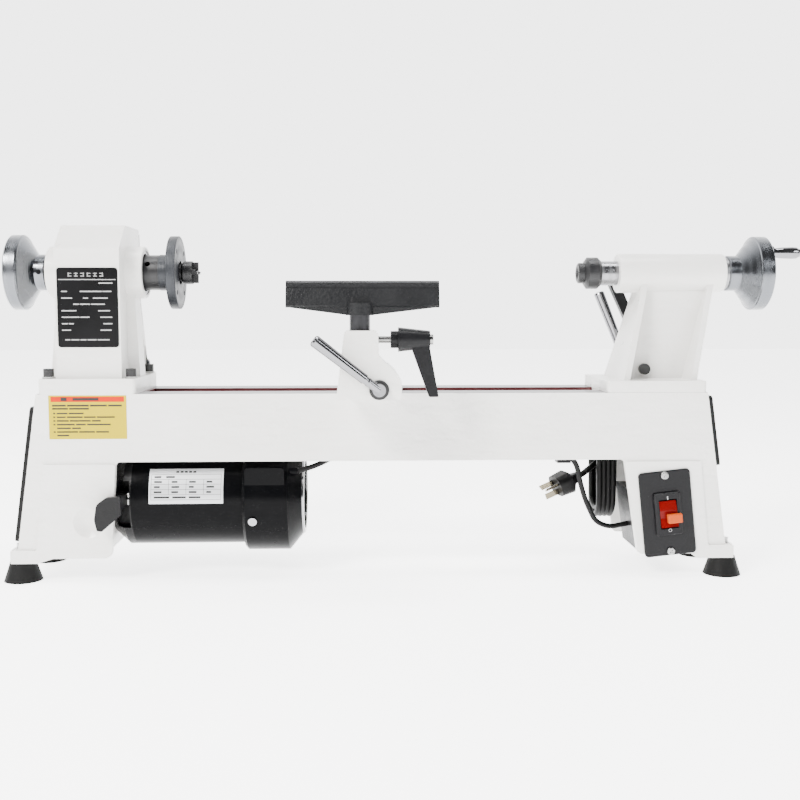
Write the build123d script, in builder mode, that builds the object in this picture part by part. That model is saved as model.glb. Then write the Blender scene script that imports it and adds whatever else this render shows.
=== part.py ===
from build123d import *
import math
import os

# Bench wood lathe, in millimetres. +X runs from the headstock to the tailstock, +Y away from the
# operator, +Z up. The origin is on the bench, under the middle of the footprint.

# ---------------------------------------------------------------- driving dimensions
BED_Y = 45.5                 # centre plane of the bed
BED_TOP = 195.0
CENTRE_HEIGHT = 125.0        # spindle axis above the bed: 250 mm swing
BED_LEFT, BED_RIGHT = -381.5, 311.0
BED_HALF = 56.0
SKIRT_DEPTH = 70.0
SKIRT_WALL = 5.0
WAY_THICKNESS = 12.0
SLOT_HALF = 20.0
END_SLOPE = 8.0              # degrees, each end leans out towards its foot
PAD_PROUD = 2.0              # the legs' raised front and rear pads
LEG_BOTTOM = 25.0
EAR_BOTTOM, EAR_TOP = 20.0, 34.0
FOOT_HEIGHT = 20.0
HEAD_LEFT, HEAD_RIGHT = -362.0, -296.0
HEAD_WALL = 4.5
HEAD_TOP = BED_TOP + CENTRE_HEIGHT + 48.5
HEAD_FRONT, HEAD_REAR = -47.0, 50.0
BASE_LEFT, BASE_RIGHT, BASE_THICKNESS = -379.0, -280.5, 15.5
BOSS_RADIUS, BEARING_OD, BEARING_ID, BEARING_WIDTH = 27.5, 47.0, 25.0, 12.0
STEP_WIDTH, STEP_COUNT = 7.4, 5
CENTRE_DISTANCE_SUM = 50.0   # sum of the two pulley radii on every step
SPEED_RATIOS = (750 / 1400, 1100 / 1400, 1600 / 1400, 2200 / 1400, 3200 / 1400)
BELT_STEP = 2                # the belt rests on the middle step
BELT_THICKNESS = 2.4
MOTOR_Z = 81.5
MOTOR_RADIUS, FAN_COVER_RADIUS = 52.5, 60.0
MOTOR_LIFT = 6.0             # travel that slackens the belt
QUILL_RADIUS, QUILL_OUT = 13.0, 18.0
BARREL_LEFT, BARREL_RIGHT, BARREL_RADIUS = 226.0, 341.0, 21.0
TAIL_LEFT, TAIL_RIGHT, TAIL_BASE = 205.0, 310.0, 12.0
LEAN = 14.0                  # degrees, the tailstock column leans towards its handwheel
CAM_RADIUS, CAM_THROW = 6.0, 1.0
BANJO_CAM_X, BANJO_CAM_Z = -33.0, 205.0
POST_X, POST_Y, POST_RADIUS = -51.2, -108.0, 10.0
TAIL_CAM_X, TAIL_CAM_Z = 255.0, 217.0
WHEEL_RADIUS = 39.5
CORD_RADIUS, LEAD_RADIUS = 3.2, 2.75

# ---------------------------------------------------------------- fits
RUN = 0.05                   # running clearance on a radius
GAP = 0.4                    # clearance between faces of different moving pieces

AXIS_Z = BED_TOP + CENTRE_HEIGHT
SKIRT_BOTTOM = BED_TOP - SKIRT_DEPTH
WAY_BOTTOM = BED_TOP - WAY_THICKNESS
SLOPE = math.tan(math.radians(END_SLOPE))
MOTOR_WALL_RIGHT = -312.0
MOTOR_WALL = 6.0
MOTOR_LEFT = MOTOR_WALL_RIGHT + 0.3
PULLEY_LEFT = HEAD_LEFT + HEAD_WALL + 0.6
PULLEY_WIDTH = STEP_WIDTH * STEP_COUNT
SPINDLE_RADIUS = BEARING_ID / 2

os.makedirs("parts", exist_ok=True)


def across(x):
    """Plane square to the bed at x: sketch x is Y from the bed's centre plane, sketch y is Z."""
    return Plane(origin=(x, BED_Y, 0), x_dir=(0, 1, 0), z_dir=(1, 0, 0))


def front(y):
    """Upright plane along the bed, y behind its centre plane: sketch x is X, sketch y is Z.

    It faces the operator, so a negative extrusion runs to the rear.
    """
    return Plane(origin=(0, BED_Y + y, 0), x_dir=(1, 0, 0), z_dir=(0, -1, 0))


def level(z):
    """Level plane: sketch x is X, sketch y is Y from the bed's centre plane."""
    return Plane(origin=(0, BED_Y, z), x_dir=(1, 0, 0), z_dir=(0, 0, 1))


def turned(profile, z, y=0.0, mode=Mode.ADD):
    """Revolve an outline of (x, radius) points about a line along X."""
    plane = Plane(origin=(0, BED_Y + y, z), x_dir=(1, 0, 0), z_dir=(0, -1, 0))
    with BuildSketch(plane) as half:
        with BuildLine():
            Polyline(*profile, close=True)
        make_face()
    revolve(half.sketch, axis=Axis(plane.origin, plane.x_dir), mode=mode)


def round_x(x0, x1, radius, z, y=0.0, mode=Mode.ADD):
    """A cylinder along X from x0 to x1."""
    turned([(x0, 0), (x1, 0), (x1, radius), (x0, radius)], z, y, mode)


def round_y(x, z, y0, y1, radius, mode=Mode.ADD):
    """A cylinder along Y from y0 to y1, both from the bed's centre plane."""
    with BuildSketch(front(y0)) as disc:
        with Locations((x, z)):
            Circle(radius)
    extrude(disc.sketch, amount=-(y1 - y0), mode=mode)


def round_z(x, y, z0, z1, radius, mode=Mode.ADD):
    """A cylinder along Z from z0 to z1."""
    with BuildSketch(level(z0)) as disc:
        with Locations((x, y)):
            Circle(radius)
    extrude(disc.sketch, amount=z1 - z0, mode=mode)


def block(x0, x1, y0, y1, z0, z1, mode=Mode.ADD):
    """A box between two corners, y from the bed's centre plane."""
    with Locations(((x0 + x1) / 2, BED_Y + (y0 + y1) / 2, (z0 + z1) / 2)):
        Box(x1 - x0, y1 - y0, z1 - z0, mode=mode)


def slab(points, y0, y1, mode=Mode.ADD):
    """An outline of (x, z) points, from y0 back to y1."""
    with BuildSketch(front(y0)) as outline:
        with BuildLine():
            Polyline(*points, close=True)
        make_face()
    extrude(outline.sketch, amount=-(y1 - y0), mode=mode)


def rounded_slab(points, radii, y0, y1, mode=Mode.ADD):
    """As slab, with a radius at each corner."""
    with BuildSketch(front(y0)) as outline:
        with BuildLine():
            FilletPolyline(*points, radius=radii, close=True)
        make_face()
    extrude(outline.sketch, amount=-(y1 - y0), mode=mode)


def tapered_bar(x0, x1, half0, z0, x2, x3, half1, z1, mode=Mode.ADD):
    """A four-sided bar lofted from a rectangle at z0 up to a rectangle at z1."""
    with BuildSketch(level(z0)) as foot:
        with Locations(((x0 + x1) / 2, 0)):
            Rectangle(x1 - x0, 2 * half0)
    with BuildSketch(level(z1)) as head:
        with Locations(((x2 + x3) / 2, 0)):
            Rectangle(x3 - x2, 2 * half1)
    loft([foot.sketch, head.sketch], mode=mode)


def hexagon_x(x0, x1, flat, z, y):
    """A hexagon nut or head along X."""
    with BuildSketch(across(x0)) as hexagon:
        with Locations((y, z)):
            RegularPolygon(flat / 2, 6, major_radius=False)
    extrude(hexagon.sketch, amount=x1 - x0)


def hexagon_z(x, y, z0, z1, flat):
    """A hexagon nut or head along Z."""
    with BuildSketch(level(z0)) as hexagon:
        with Locations((x, y)):
            RegularPolygon(flat / 2, 6, major_radius=False)
    extrude(hexagon.sketch, amount=z1 - z0)


def save(piece, name):
    """Label a finished piece and write it."""
    piece.part.label = name
    export_step(piece.part, f"parts/{name}.step")


def slope_out(z):
    """How far an end face stands out from the bed's top corner at height z."""
    return (BED_TOP - z) * SLOPE


# ---------------------------------------------------------------- bed
EAR_LEFT, EAR_RIGHT = -411.5, 342.0
LEFT_LEG_IN_TOP, LEFT_LEG_IN_BOTTOM = -302.0, -308.0
RIGHT_LEG_IN_TOP, RIGHT_LEG_IN_BOTTOM = 224.0, 240.0
INNER = BED_HALF - SKIRT_WALL
END_WALL = 6.0
SLOT_LEFT, SLOT_RIGHT = -276.0, 296.0
DOOR_TOP_LEFT, DOOR_BOTTOM_LEFT = 181.0, 41.5
DOOR_TOP_RIGHT, DOOR_BOTTOM_RIGHT = 190.5, 117.0
DOOR_HALF, DOOR_THICKNESS = 53.5, 4.5
DOOR_LIP = 12.0
BELT_HALF = 40.0
BELT_HOLE_RIGHT = HEAD_RIGHT - HEAD_WALL
STUD_Y, STUD_Z, STUD_RADIUS = 39.0, 84.0, 4.0
FEET = [(x, y) for x in (-403.0, 334.5) for y in (-44.0, 44.0)]
HEAD_BOLTS = [(x, y) for x in (-371.0, -287.0) for y in (-44.0, 44.0)]
HEAD_BOLT_RADIUS = 3.0
FOOT_BOLT_RADIUS = 4.0

bed_outline = [
    (BED_LEFT, BED_TOP), (BED_LEFT - slope_out(EAR_TOP), EAR_TOP), (EAR_LEFT, EAR_TOP), (EAR_LEFT, EAR_BOTTOM),
    (-384, EAR_BOTTOM), (-368, LEG_BOTTOM), (LEFT_LEG_IN_BOTTOM, LEG_BOTTOM), (LEFT_LEG_IN_TOP, SKIRT_BOTTOM),
    (RIGHT_LEG_IN_TOP, SKIRT_BOTTOM), (RIGHT_LEG_IN_BOTTOM, LEG_BOTTOM), (297, LEG_BOTTOM), (303, EAR_BOTTOM),
    (EAR_RIGHT, EAR_BOTTOM), (EAR_RIGHT, EAR_TOP), (BED_RIGHT + slope_out(EAR_TOP), EAR_TOP), (BED_RIGHT, BED_TOP),
]
bed_radii = [1.5, 3, 2, 1, 3, 6, 7, 5, 5, 5, 3, 3, 1, 2, 3, 1.5]
left_pad = [(-375.5, SKIRT_BOTTOM - 2), (-384.5, EAR_TOP), (EAR_LEFT, EAR_TOP), (EAR_LEFT, EAR_BOTTOM),
            (-384, EAR_BOTTOM), (-368, LEG_BOTTOM), (LEFT_LEG_IN_BOTTOM, LEG_BOTTOM),
            (LEFT_LEG_IN_TOP - 0.4, SKIRT_BOTTOM - 2)]
left_pad_radii = [1.5, 2, 2, 1, 3, 6, 7, 3]
right_pad = [(RIGHT_LEG_IN_TOP + 0.6, SKIRT_BOTTOM - 2), (RIGHT_LEG_IN_BOTTOM, LEG_BOTTOM), (297, LEG_BOTTOM),
             (303, EAR_BOTTOM), (EAR_RIGHT, EAR_BOTTOM), (EAR_RIGHT, EAR_TOP), (314.5, EAR_TOP),
             (305, SKIRT_BOTTOM - 2)]
right_pad_radii = [3, 5, 3, 3, 1, 2, 2, 1.5]


def left_strip(z_top, z_bottom, depth0, depth1, half, mode):
    """A slanted slice of the left end wall, from depth0 to depth1 inside its face."""
    slab([(BED_LEFT - slope_out(z_top) + depth0, z_top), (BED_LEFT - slope_out(z_bottom) + depth0, z_bottom),
          (BED_LEFT - slope_out(z_bottom) + depth1, z_bottom), (BED_LEFT - slope_out(z_top) + depth1, z_top)],
         -half, half, mode)


def right_strip(z_top, z_bottom, depth0, depth1, half, mode):
    """The same at the right end."""
    slab([(BED_RIGHT + slope_out(z_top) - depth0, z_top), (BED_RIGHT + slope_out(z_bottom) - depth0, z_bottom),
          (BED_RIGHT + slope_out(z_bottom) - depth1, z_bottom), (BED_RIGHT + slope_out(z_top) - depth1, z_top)],
         -half, half, mode)


SWITCH_TILT = 6.2
PANEL = -BED_HALF - PAD_PROUD
SWITCH_X, SWITCH_Z = 270.0, 68.5
switch_lean = Vector(math.sin(math.radians(SWITCH_TILT)), 0, -math.cos(math.radians(SWITCH_TILT)))
switch_across = Vector(math.cos(math.radians(SWITCH_TILT)), 0, math.sin(math.radians(SWITCH_TILT)))
KNOB_STUD_HOLE = 4.2
LEFT_KNOB_Z, RIGHT_KNOB_Z = 49.0, 158.0
RIGHT_KNOB_Y = 0.0
with BuildPart() as bed_casting:
    rounded_slab(bed_outline, bed_radii, -BED_HALF, -INNER)
    rounded_slab(bed_outline, bed_radii, INNER, BED_HALF)
    for y0, y1 in ((-BED_HALF - PAD_PROUD, -BED_HALF + 1), (BED_HALF - 1, BED_HALF + PAD_PROUD)):
        rounded_slab(left_pad, left_pad_radii, y0, y1)
        rounded_slab(right_pad, right_pad_radii, y0, y1)
    slab([(BED_LEFT + 0.3, BED_TOP), (BED_RIGHT - 0.3, BED_TOP), (BED_RIGHT + slope_out(WAY_BOTTOM), WAY_BOTTOM),
          (BED_LEFT - slope_out(WAY_BOTTOM), WAY_BOTTOM)], -BED_HALF, BED_HALF)
    left_strip(WAY_BOTTOM, EAR_TOP, 0, END_WALL, INNER + 1, Mode.ADD)
    right_strip(WAY_BOTTOM, EAR_TOP, 0, END_WALL, INNER + 1, Mode.ADD)
    # ears under each end, tied front to rear
    for x0, x1 in ((EAR_LEFT + 0.5, -384), (303, EAR_RIGHT - 0.5)):
        block(x0, x1, -BED_HALF + 1, BED_HALF - 1, EAR_BOTTOM, EAR_TOP)
    # the wall that carries the motor, and the slot its shaft rises in
    block(MOTOR_WALL_RIGHT - MOTOR_WALL, MOTOR_WALL_RIGHT, -INNER - 1, INNER + 1, LEG_BOTTOM + 6, WAY_BOTTOM + 1)
    for lift in (0, MOTOR_LIFT):
        round_x(MOTOR_WALL_RIGHT - MOTOR_WALL - 1, MOTOR_WALL_RIGHT + 1, 12, MOTOR_Z + lift, 0, Mode.SUBTRACT)
    block(MOTOR_WALL_RIGHT - MOTOR_WALL - 1, MOTOR_WALL_RIGHT + 1, -12, 12, MOTOR_Z, MOTOR_Z + MOTOR_LIFT,
          Mode.SUBTRACT)
    for y in (-STUD_Y, STUD_Y):
        round_x(MOTOR_WALL_RIGHT - MOTOR_WALL - 1, MOTOR_WALL_RIGHT + 1, STUD_RADIUS, STUD_Z, y, Mode.SUBTRACT)
    # slot between the ways, and the belt's way up into the headstock
    block(SLOT_LEFT, SLOT_RIGHT, -SLOT_HALF, SLOT_HALF, WAY_BOTTOM - 1, BED_TOP + 1, Mode.SUBTRACT)
    block(HEAD_LEFT + 1, BELT_HOLE_RIGHT, -BELT_HALF, BELT_HALF, WAY_BOTTOM - 1, BED_TOP + 1, Mode.SUBTRACT)
    # door openings in the two ends, each with a lip all round
    left_strip(DOOR_TOP_LEFT - DOOR_LIP, DOOR_BOTTOM_LEFT + 2.2 * DOOR_LIP, -3, END_WALL + 3,
               DOOR_HALF - DOOR_LIP, Mode.SUBTRACT)
    right_strip(RIGHT_KNOB_Z - DOOR_LIP, DOOR_BOTTOM_RIGHT + DOOR_LIP, -3, END_WALL + 3,
                DOOR_HALF - DOOR_LIP, Mode.SUBTRACT)
    round_x(BED_LEFT - 33.5, BED_LEFT - 8.5, KNOB_STUD_HOLE, LEFT_KNOB_Z, 0, Mode.SUBTRACT)
    round_x(BED_RIGHT - 11, BED_RIGHT + 19, KNOB_STUD_HOLE, RIGHT_KNOB_Z, RIGHT_KNOB_Y, Mode.SUBTRACT)
    # finger hollow beside the motor lock lever
    with Locations((-331, BED_Y - BED_HALF - 26.5, 62)):
        Sphere(29, mode=Mode.SUBTRACT)
    for x, y in HEAD_BOLTS:
        round_z(x, y, WAY_BOTTOM - 1, BED_TOP + 1, HEAD_BOLT_RADIUS, Mode.SUBTRACT)
    for x, y in FEET:
        round_z(x, y, EAR_BOTTOM - 1, EAR_TOP + 1, FOOT_BOLT_RADIUS, Mode.SUBTRACT)
        round_z(x, y, EAR_TOP, EAR_TOP + 9, 7.5, Mode.SUBTRACT)
    with BuildSketch(Plane(origin=(SWITCH_X, BED_Y - BED_HALF + SKIRT_WALL + 1, SWITCH_Z), x_dir=switch_across,
                           z_dir=(0, -1, 0))) as switch_hole:
        Rectangle(24.2, 34.8)
    extrude(switch_hole.sketch, amount=20, mode=Mode.SUBTRACT)
save(bed_casting, "bed_casting")

# ---------------------------------------------------------------- feet
with BuildPart() as rubber_feet:
    for x, y in FEET:
        with BuildSketch(level(0)) as sole:
            with Locations((x, y)):
                Circle(19.5)
        with BuildSketch(level(FOOT_HEIGHT)) as neck:
            with Locations((x, y)):
                Circle(13.0)
        loft([sole.sketch, neck.sketch])
        round_z(x, y, 6, FOOT_HEIGHT, FOOT_BOLT_RADIUS, Mode.SUBTRACT)
save(rubber_feet, "rubber_feet")

with BuildPart() as foot_bolts:
    for x, y in FEET:
        round_z(x, y, 6, EAR_TOP + 0.5, FOOT_BOLT_RADIUS)
        hexagon_z(x, y, EAR_TOP, EAR_TOP + 5, 11)
save(foot_bolts, "foot_bolts")


# ---------------------------------------------------------------- doors in the ends
def end_plane(side, z):
    """Plane on an end face at height z: sketch x is Y, sketch y runs up the face, normal outward."""
    x = BED_LEFT - slope_out(z) if side < 0 else BED_RIGHT + slope_out(z)
    tilt = math.radians(END_SLOPE)
    return Plane(origin=(x, BED_Y, z), x_dir=(0, side, 0), z_dir=(side * math.cos(tilt), 0, math.sin(tilt)))


def door(side, z_top, z_bottom, knob_z, name):
    """A flat cover hinged along its top edge."""
    length = (z_top - z_bottom) / math.cos(math.radians(END_SLOPE))
    to_knob = (z_top - knob_z) / math.cos(math.radians(END_SLOPE))
    with BuildPart() as cover:
        with BuildSketch(end_plane(side, z_top).offset(GAP)):
            with Locations((0, -length / 2)):
                RectangleRounded(2 * DOOR_HALF, length, 4)
            with Locations((0, -to_knob)):
                Circle(3.0 + RUN, mode=Mode.SUBTRACT)
        extrude(amount=DOOR_THICKNESS)
        for y in (-DOOR_HALF + 16, DOOR_HALF - 16):
            with BuildSketch(Plane(origin=(0, BED_Y + y - 7, 0), x_dir=(1, 0, 0), z_dir=(0, 1, 0))) as knuckle:
                at = end_plane(side, z_top).offset(GAP + DOOR_THICKNESS).origin
                with Locations((at.X, -at.Z + 3)):
                    Circle(1.6)
            extrude(knuckle.sketch, amount=14)
    save(cover, name)


def door_knob(side, z_top, knob_z, name, radius, height):
    """A quarter-turn knob whose shank passes the door into a clear hole in the lip."""
    to_knob = (z_top - knob_z) / math.cos(math.radians(END_SLOPE))
    seat = end_plane(side, z_top).offset(GAP)
    with BuildPart() as knob:
        with BuildSketch(seat.offset(-6)) as shank:
            with Locations((0, -to_knob)):
                Circle(3.0)
        extrude(shank.sketch, amount=6 + DOOR_THICKNESS + 1)
        with BuildSketch(seat.offset(DOOR_THICKNESS + 0.05)) as head:
            with Locations((0, -to_knob)):
                Circle(radius)
        extrude(head.sketch, amount=height)
        fillet(knob.edges().filter_by(GeomType.CIRCLE).sort_by(SortBy.RADIUS)[-2:]
               .sort_by(Axis.X)[0 if side < 0 else -1], radius=height * 0.45)
        with BuildSketch(seat.offset(DOOR_THICKNESS + height * 0.7)) as slot:
            with Locations((0, -to_knob)):
                Rectangle(1.4, 2 * radius + 2)
        extrude(slot.sketch, amount=height, mode=Mode.SUBTRACT)
    save(knob, name)


door(-1, DOOR_TOP_LEFT, DOOR_BOTTOM_LEFT, LEFT_KNOB_Z, "left_door")
door_knob(-1, DOOR_TOP_LEFT, LEFT_KNOB_Z, "left_door_knob", 5.0, 5.0)
door(1, DOOR_TOP_RIGHT, DOOR_BOTTOM_RIGHT, RIGHT_KNOB_Z, "right_door")
door_knob(1, DOOR_TOP_RIGHT, RIGHT_KNOB_Z, "right_door_knob", 7.0, 6.5)

# ---------------------------------------------------------------- headstock
BASE_TOP = BED_TOP + BASE_THICKNESS
LEFT_BOSS, RIGHT_BOSS = -378.0, -277.8
LEFT_BEARING, RIGHT_BEARING = LEFT_BOSS + 1.2, RIGHT_BOSS - 1.2 - BEARING_WIDTH
COVER_THICKNESS = 2.5
COVER_BOTTOM, COVER_TOP = 213.5, HEAD_TOP - 3.0
BEVEL = 30.0
with BuildPart() as headstock_casting:
    with BuildSketch(across(HEAD_LEFT)) as side:
        with BuildLine():
            FilletPolyline((HEAD_FRONT, BASE_TOP - 1), (HEAD_FRONT, HEAD_TOP - 26), (HEAD_FRONT + BEVEL, HEAD_TOP),
                           (HEAD_REAR, HEAD_TOP), (HEAD_REAR, BASE_TOP - 1), radius=[0.5, 4, 4, 2, 0.5], close=True)
        make_face()
    extrude(side.sketch, amount=HEAD_RIGHT - HEAD_LEFT)
    # the rear edge flares towards the base
    slab([(HEAD_LEFT - 8, BASE_TOP - 1), (HEAD_RIGHT + 8, BASE_TOP - 1), (HEAD_RIGHT, AXIS_Z - 30),
          (HEAD_LEFT, AXIS_Z - 30)], HEAD_REAR - 7, HEAD_REAR)
    block(BASE_LEFT, BASE_RIGHT, -BED_HALF, BED_HALF, BED_TOP, BASE_TOP)
    fillet(headstock_casting.edges().filter_by(Axis.Z).filter_by_position(Axis.Z, BED_TOP, BASE_TOP)
           .group_by(SortBy.LENGTH)[-1].filter_by(lambda e: abs(abs(e.center().Y - BED_Y) - BED_HALF) < 0.01), 4)
    round_x(LEFT_BOSS, RIGHT_BOSS, BOSS_RADIUS, AXIS_Z)
    fillet(headstock_casting.edges().filter_by(GeomType.CIRCLE)
           .filter_by(lambda e: abs(e.radius - BOSS_RADIUS) < 0.01 and min(abs(e.center().X - LEFT_BOSS),
                                                                          abs(e.center().X - RIGHT_BOSS)) < 0.01), 2)
    # ribs under the two bosses
    slab([(HEAD_RIGHT - 2, AXIS_Z - 20), (RIGHT_BOSS - 10, AXIS_Z - 20), (BASE_RIGHT - 3, BASE_TOP - 1),
          (HEAD_RIGHT - 2, BASE_TOP - 1)], -16, 10)
    slab([(HEAD_LEFT + 2, AXIS_Z - 20), (LEFT_BOSS + 10, AXIS_Z - 20), (BASE_LEFT + 2, BASE_TOP - 1),
          (HEAD_LEFT + 2, BASE_TOP - 1)], -16, 10)
    # inside: one chamber, open to the rear and down through the base
    with BuildSketch(across(HEAD_LEFT + HEAD_WALL)) as chamber:
        with BuildLine():
            Polyline((HEAD_FRONT + 5, BASE_TOP + 3), (HEAD_FRONT + 5, HEAD_TOP - 28.5),
                     (HEAD_FRONT + BEVEL + 3, HEAD_TOP - 6), (HEAD_REAR + 1, HEAD_TOP - 6),
                     (HEAD_REAR + 1, BASE_TOP + 3), close=True)
        make_face()
    extrude(chamber.sketch, amount=HEAD_RIGHT - HEAD_LEFT - 2 * HEAD_WALL, mode=Mode.SUBTRACT)
    block(HEAD_LEFT + HEAD_WALL, HEAD_RIGHT - HEAD_WALL, -BELT_HALF, BELT_HALF, BED_TOP - 1, BASE_TOP + 4,
          Mode.SUBTRACT)
    for x0, x1 in ((LEFT_BOSS - 1, HEAD_LEFT + HEAD_WALL + 1), (HEAD_RIGHT - HEAD_WALL - 1, RIGHT_BOSS + 1)):
        round_x(x0, x1, BEARING_OD / 2 - 3, AXIS_Z, 0, Mode.SUBTRACT)
    round_x(LEFT_BOSS - 1, LEFT_BEARING + BEARING_WIDTH, BEARING_OD / 2, AXIS_Z, 0, Mode.SUBTRACT)
    round_x(RIGHT_BEARING, RIGHT_BOSS + 1, BEARING_OD / 2, AXIS_Z, 0, Mode.SUBTRACT)
    for x, y in HEAD_BOLTS:
        round_z(x, y, BED_TOP - 1, BASE_TOP + 1, HEAD_BOLT_RADIUS, Mode.SUBTRACT)
        round_z(x, y, BASE_TOP, BASE_TOP + 30, 7.2, Mode.SUBTRACT)
save(headstock_casting, "headstock_casting")

WASHER = 1.8
with BuildPart() as headstock_bolts:
    for x, y in HEAD_BOLTS:
        round_z(x, y, WAY_BOTTOM - 4, BASE_TOP + WASHER, HEAD_BOLT_RADIUS)
        round_z(x, y, BASE_TOP, BASE_TOP + WASHER, 6.8)
        round_z(x, y, BASE_TOP + WASHER, BASE_TOP + WASHER + 8.2, 5.5)
        hexagon = BASE_TOP + WASHER + 4
        with BuildSketch(level(hexagon)) as socket:
            with Locations((x, y)):
                RegularPolygon(2.5, 6, major_radius=False)
        extrude(socket.sketch, amount=5, mode=Mode.SUBTRACT)
save(headstock_bolts, "headstock_bolts")

with BuildPart() as nameplate:
    with BuildSketch(front(HEAD_FRONT)):
        with Locations((-328.6, 283)):
            RectangleRounded(61.5, 81, 3)
    extrude(amount=0.8)
save(nameplate, "nameplate")

cover_outline = [(HEAD_LEFT - 7, COVER_BOTTOM), (HEAD_RIGHT + 7, COVER_BOTTOM), (HEAD_RIGHT, AXIS_Z - 30),
                 (HEAD_RIGHT, COVER_TOP), (HEAD_LEFT, COVER_TOP), (HEAD_LEFT, AXIS_Z - 30)]
REAR_KNOB_X, REAR_KNOB_Z = HEAD_RIGHT + 2.0, 221.0
with BuildPart() as rear_cover:
    rounded_slab(cover_outline, [2, 2, 4, 3, 3, 4], HEAD_REAR + GAP, HEAD_REAR + GAP + COVER_THICKNESS)
    round_y(REAR_KNOB_X, REAR_KNOB_Z, HEAD_REAR, HEAD_REAR + 5, 2.5 + RUN, Mode.SUBTRACT)
    round_x(HEAD_LEFT + 6, HEAD_LEFT + 22, 1.8, COVER_TOP - 2, HEAD_REAR + GAP + COVER_THICKNESS)
    round_x(HEAD_RIGHT - 22, HEAD_RIGHT - 6, 1.8, COVER_TOP - 2, HEAD_REAR + GAP + COVER_THICKNESS)
save(rear_cover, "rear_cover")

with BuildPart() as rear_cover_knob:
    round_y(REAR_KNOB_X, REAR_KNOB_Z, HEAD_REAR + GAP, HEAD_REAR + GAP + COVER_THICKNESS + 2, 2.5)
    round_y(REAR_KNOB_X, REAR_KNOB_Z, HEAD_REAR + GAP + COVER_THICKNESS + 0.05,
            HEAD_REAR + GAP + COVER_THICKNESS + 7, 5.5)
    block(REAR_KNOB_X - 0.7, REAR_KNOB_X + 0.7, HEAD_REAR + COVER_THICKNESS + 5.5, HEAD_REAR + COVER_THICKNESS + 9,
          REAR_KNOB_Z - 7, REAR_KNOB_Z + 7, Mode.SUBTRACT)
save(rear_cover_knob, "rear_cover_knob")

# ---------------------------------------------------------------- spindle and its bearings
BEARINGS = (LEFT_BEARING, RIGHT_BEARING)
BALL_RADIUS, BALL_COUNT = 3.2, 9
RACE = (BEARING_OD + BEARING_ID) / 4
with BuildPart() as bearing_outer_rings:
    for x in BEARINGS:
        turned([(x, BEARING_OD / 2), (x + BEARING_WIDTH, BEARING_OD / 2),
                (x + BEARING_WIDTH, RACE + 2), (x, RACE + 2)], AXIS_Z)
        with BuildSketch(Plane(origin=(x + BEARING_WIDTH / 2, BED_Y, AXIS_Z), x_dir=(1, 0, 0),
                               z_dir=(0, -1, 0))) as groove:
            with Locations((0, RACE)):
                Circle(BALL_RADIUS + RUN)
        revolve(groove.sketch, axis=Axis((0, BED_Y, AXIS_Z), (1, 0, 0)), mode=Mode.SUBTRACT)
    for x in BEARINGS:
        for i in range(BALL_COUNT):
            turn = 2 * math.pi * i / BALL_COUNT
            with Locations((x + BEARING_WIDTH / 2, BED_Y + RACE * math.cos(turn), AXIS_Z + RACE * math.sin(turn))):
                Sphere(BALL_RADIUS)
save(bearing_outer_rings, "spindle_bearings")

with BuildPart() as bearing_inner_rings:
    for x in BEARINGS:
        turned([(x, SPINDLE_RADIUS), (x + BEARING_WIDTH, SPINDLE_RADIUS),
                (x + BEARING_WIDTH, RACE - 2), (x, RACE - 2)], AXIS_Z)
        with BuildSketch(Plane(origin=(x + BEARING_WIDTH / 2, BED_Y, AXIS_Z), x_dir=(1, 0, 0),
                               z_dir=(0, -1, 0))) as groove:
            with Locations((0, RACE)):
                Circle(BALL_RADIUS + RUN)
        revolve(groove.sketch, axis=Axis((0, BED_Y, AXIS_Z), (1, 0, 0)), mode=Mode.SUBTRACT)
save(bearing_inner_rings, "bearing_inner_rings")

COLLAR_RIGHT, FLANGE_LEFT, FLANGE_RIGHT = -263.0, -251.5, -242.0
NOSE_RADIUS = 12.5
KNOCKOUT_RADIUS, TAPER_LENGTH = 5.0, 62.0
SPINDLE_LEFT = -411.0
NOSE_RIGHT = -245.0
with BuildPart() as spindle:
    turned([(SPINDLE_LEFT, 0), (NOSE_RIGHT, 0), (NOSE_RIGHT, NOSE_RADIUS), (COLLAR_RIGHT, NOSE_RADIUS),
            (COLLAR_RIGHT, 18.5), (RIGHT_BEARING + BEARING_WIDTH + 0.1, 18.5),
            (RIGHT_BEARING + BEARING_WIDTH + 0.1, SPINDLE_RADIUS), (LEFT_BEARING - 2, SPINDLE_RADIUS),
            (LEFT_BEARING - 2, 10), (SPINDLE_LEFT, 10)], AXIS_Z)
    round_x(SPINDLE_LEFT - 1, NOSE_RIGHT + 1, KNOCKOUT_RADIUS, AXIS_Z, 0, Mode.SUBTRACT)
    turned([(NOSE_RIGHT - TAPER_LENGTH, 0), (NOSE_RIGHT + 1, 0), (NOSE_RIGHT + 1, 8.95), (NOSE_RIGHT, 8.9),
            (NOSE_RIGHT - TAPER_LENGTH, 7.3)], AXIS_Z, 0, Mode.SUBTRACT)
    for turn in (28, 118):
        with BuildSketch(Plane(origin=(-273.7, BED_Y, AXIS_Z), x_dir=(1, 0, 0),
                               z_dir=(0, -math.cos(math.radians(turn)), math.sin(math.radians(turn))))) as cross_hole:
            Circle(2.75)
        extrude(cross_hole.sketch, amount=30, mode=Mode.SUBTRACT)
save(spindle, "spindle")

with BuildPart() as faceplate:
    turned([(COLLAR_RIGHT + 0.2, NOSE_RADIUS), (FLANGE_RIGHT, NOSE_RADIUS), (FLANGE_RIGHT, 37.9),
            (FLANGE_RIGHT - 0.6, 38.5), (FLANGE_LEFT + 0.6, 38.5), (FLANGE_LEFT, 37.9), (FLANGE_LEFT, 19),
            (COLLAR_RIGHT + 0.2, 19)], AXIS_Z)
    with BuildSketch(across(FLANGE_LEFT - 1)) as screw_holes:
        with Locations((0, AXIS_Z)):
            with PolarLocations(30, 4, start_angle=45):
                Circle(2.75)
    extrude(screw_holes.sketch, amount=12, mode=Mode.SUBTRACT)
save(faceplate, "faceplate")

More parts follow.
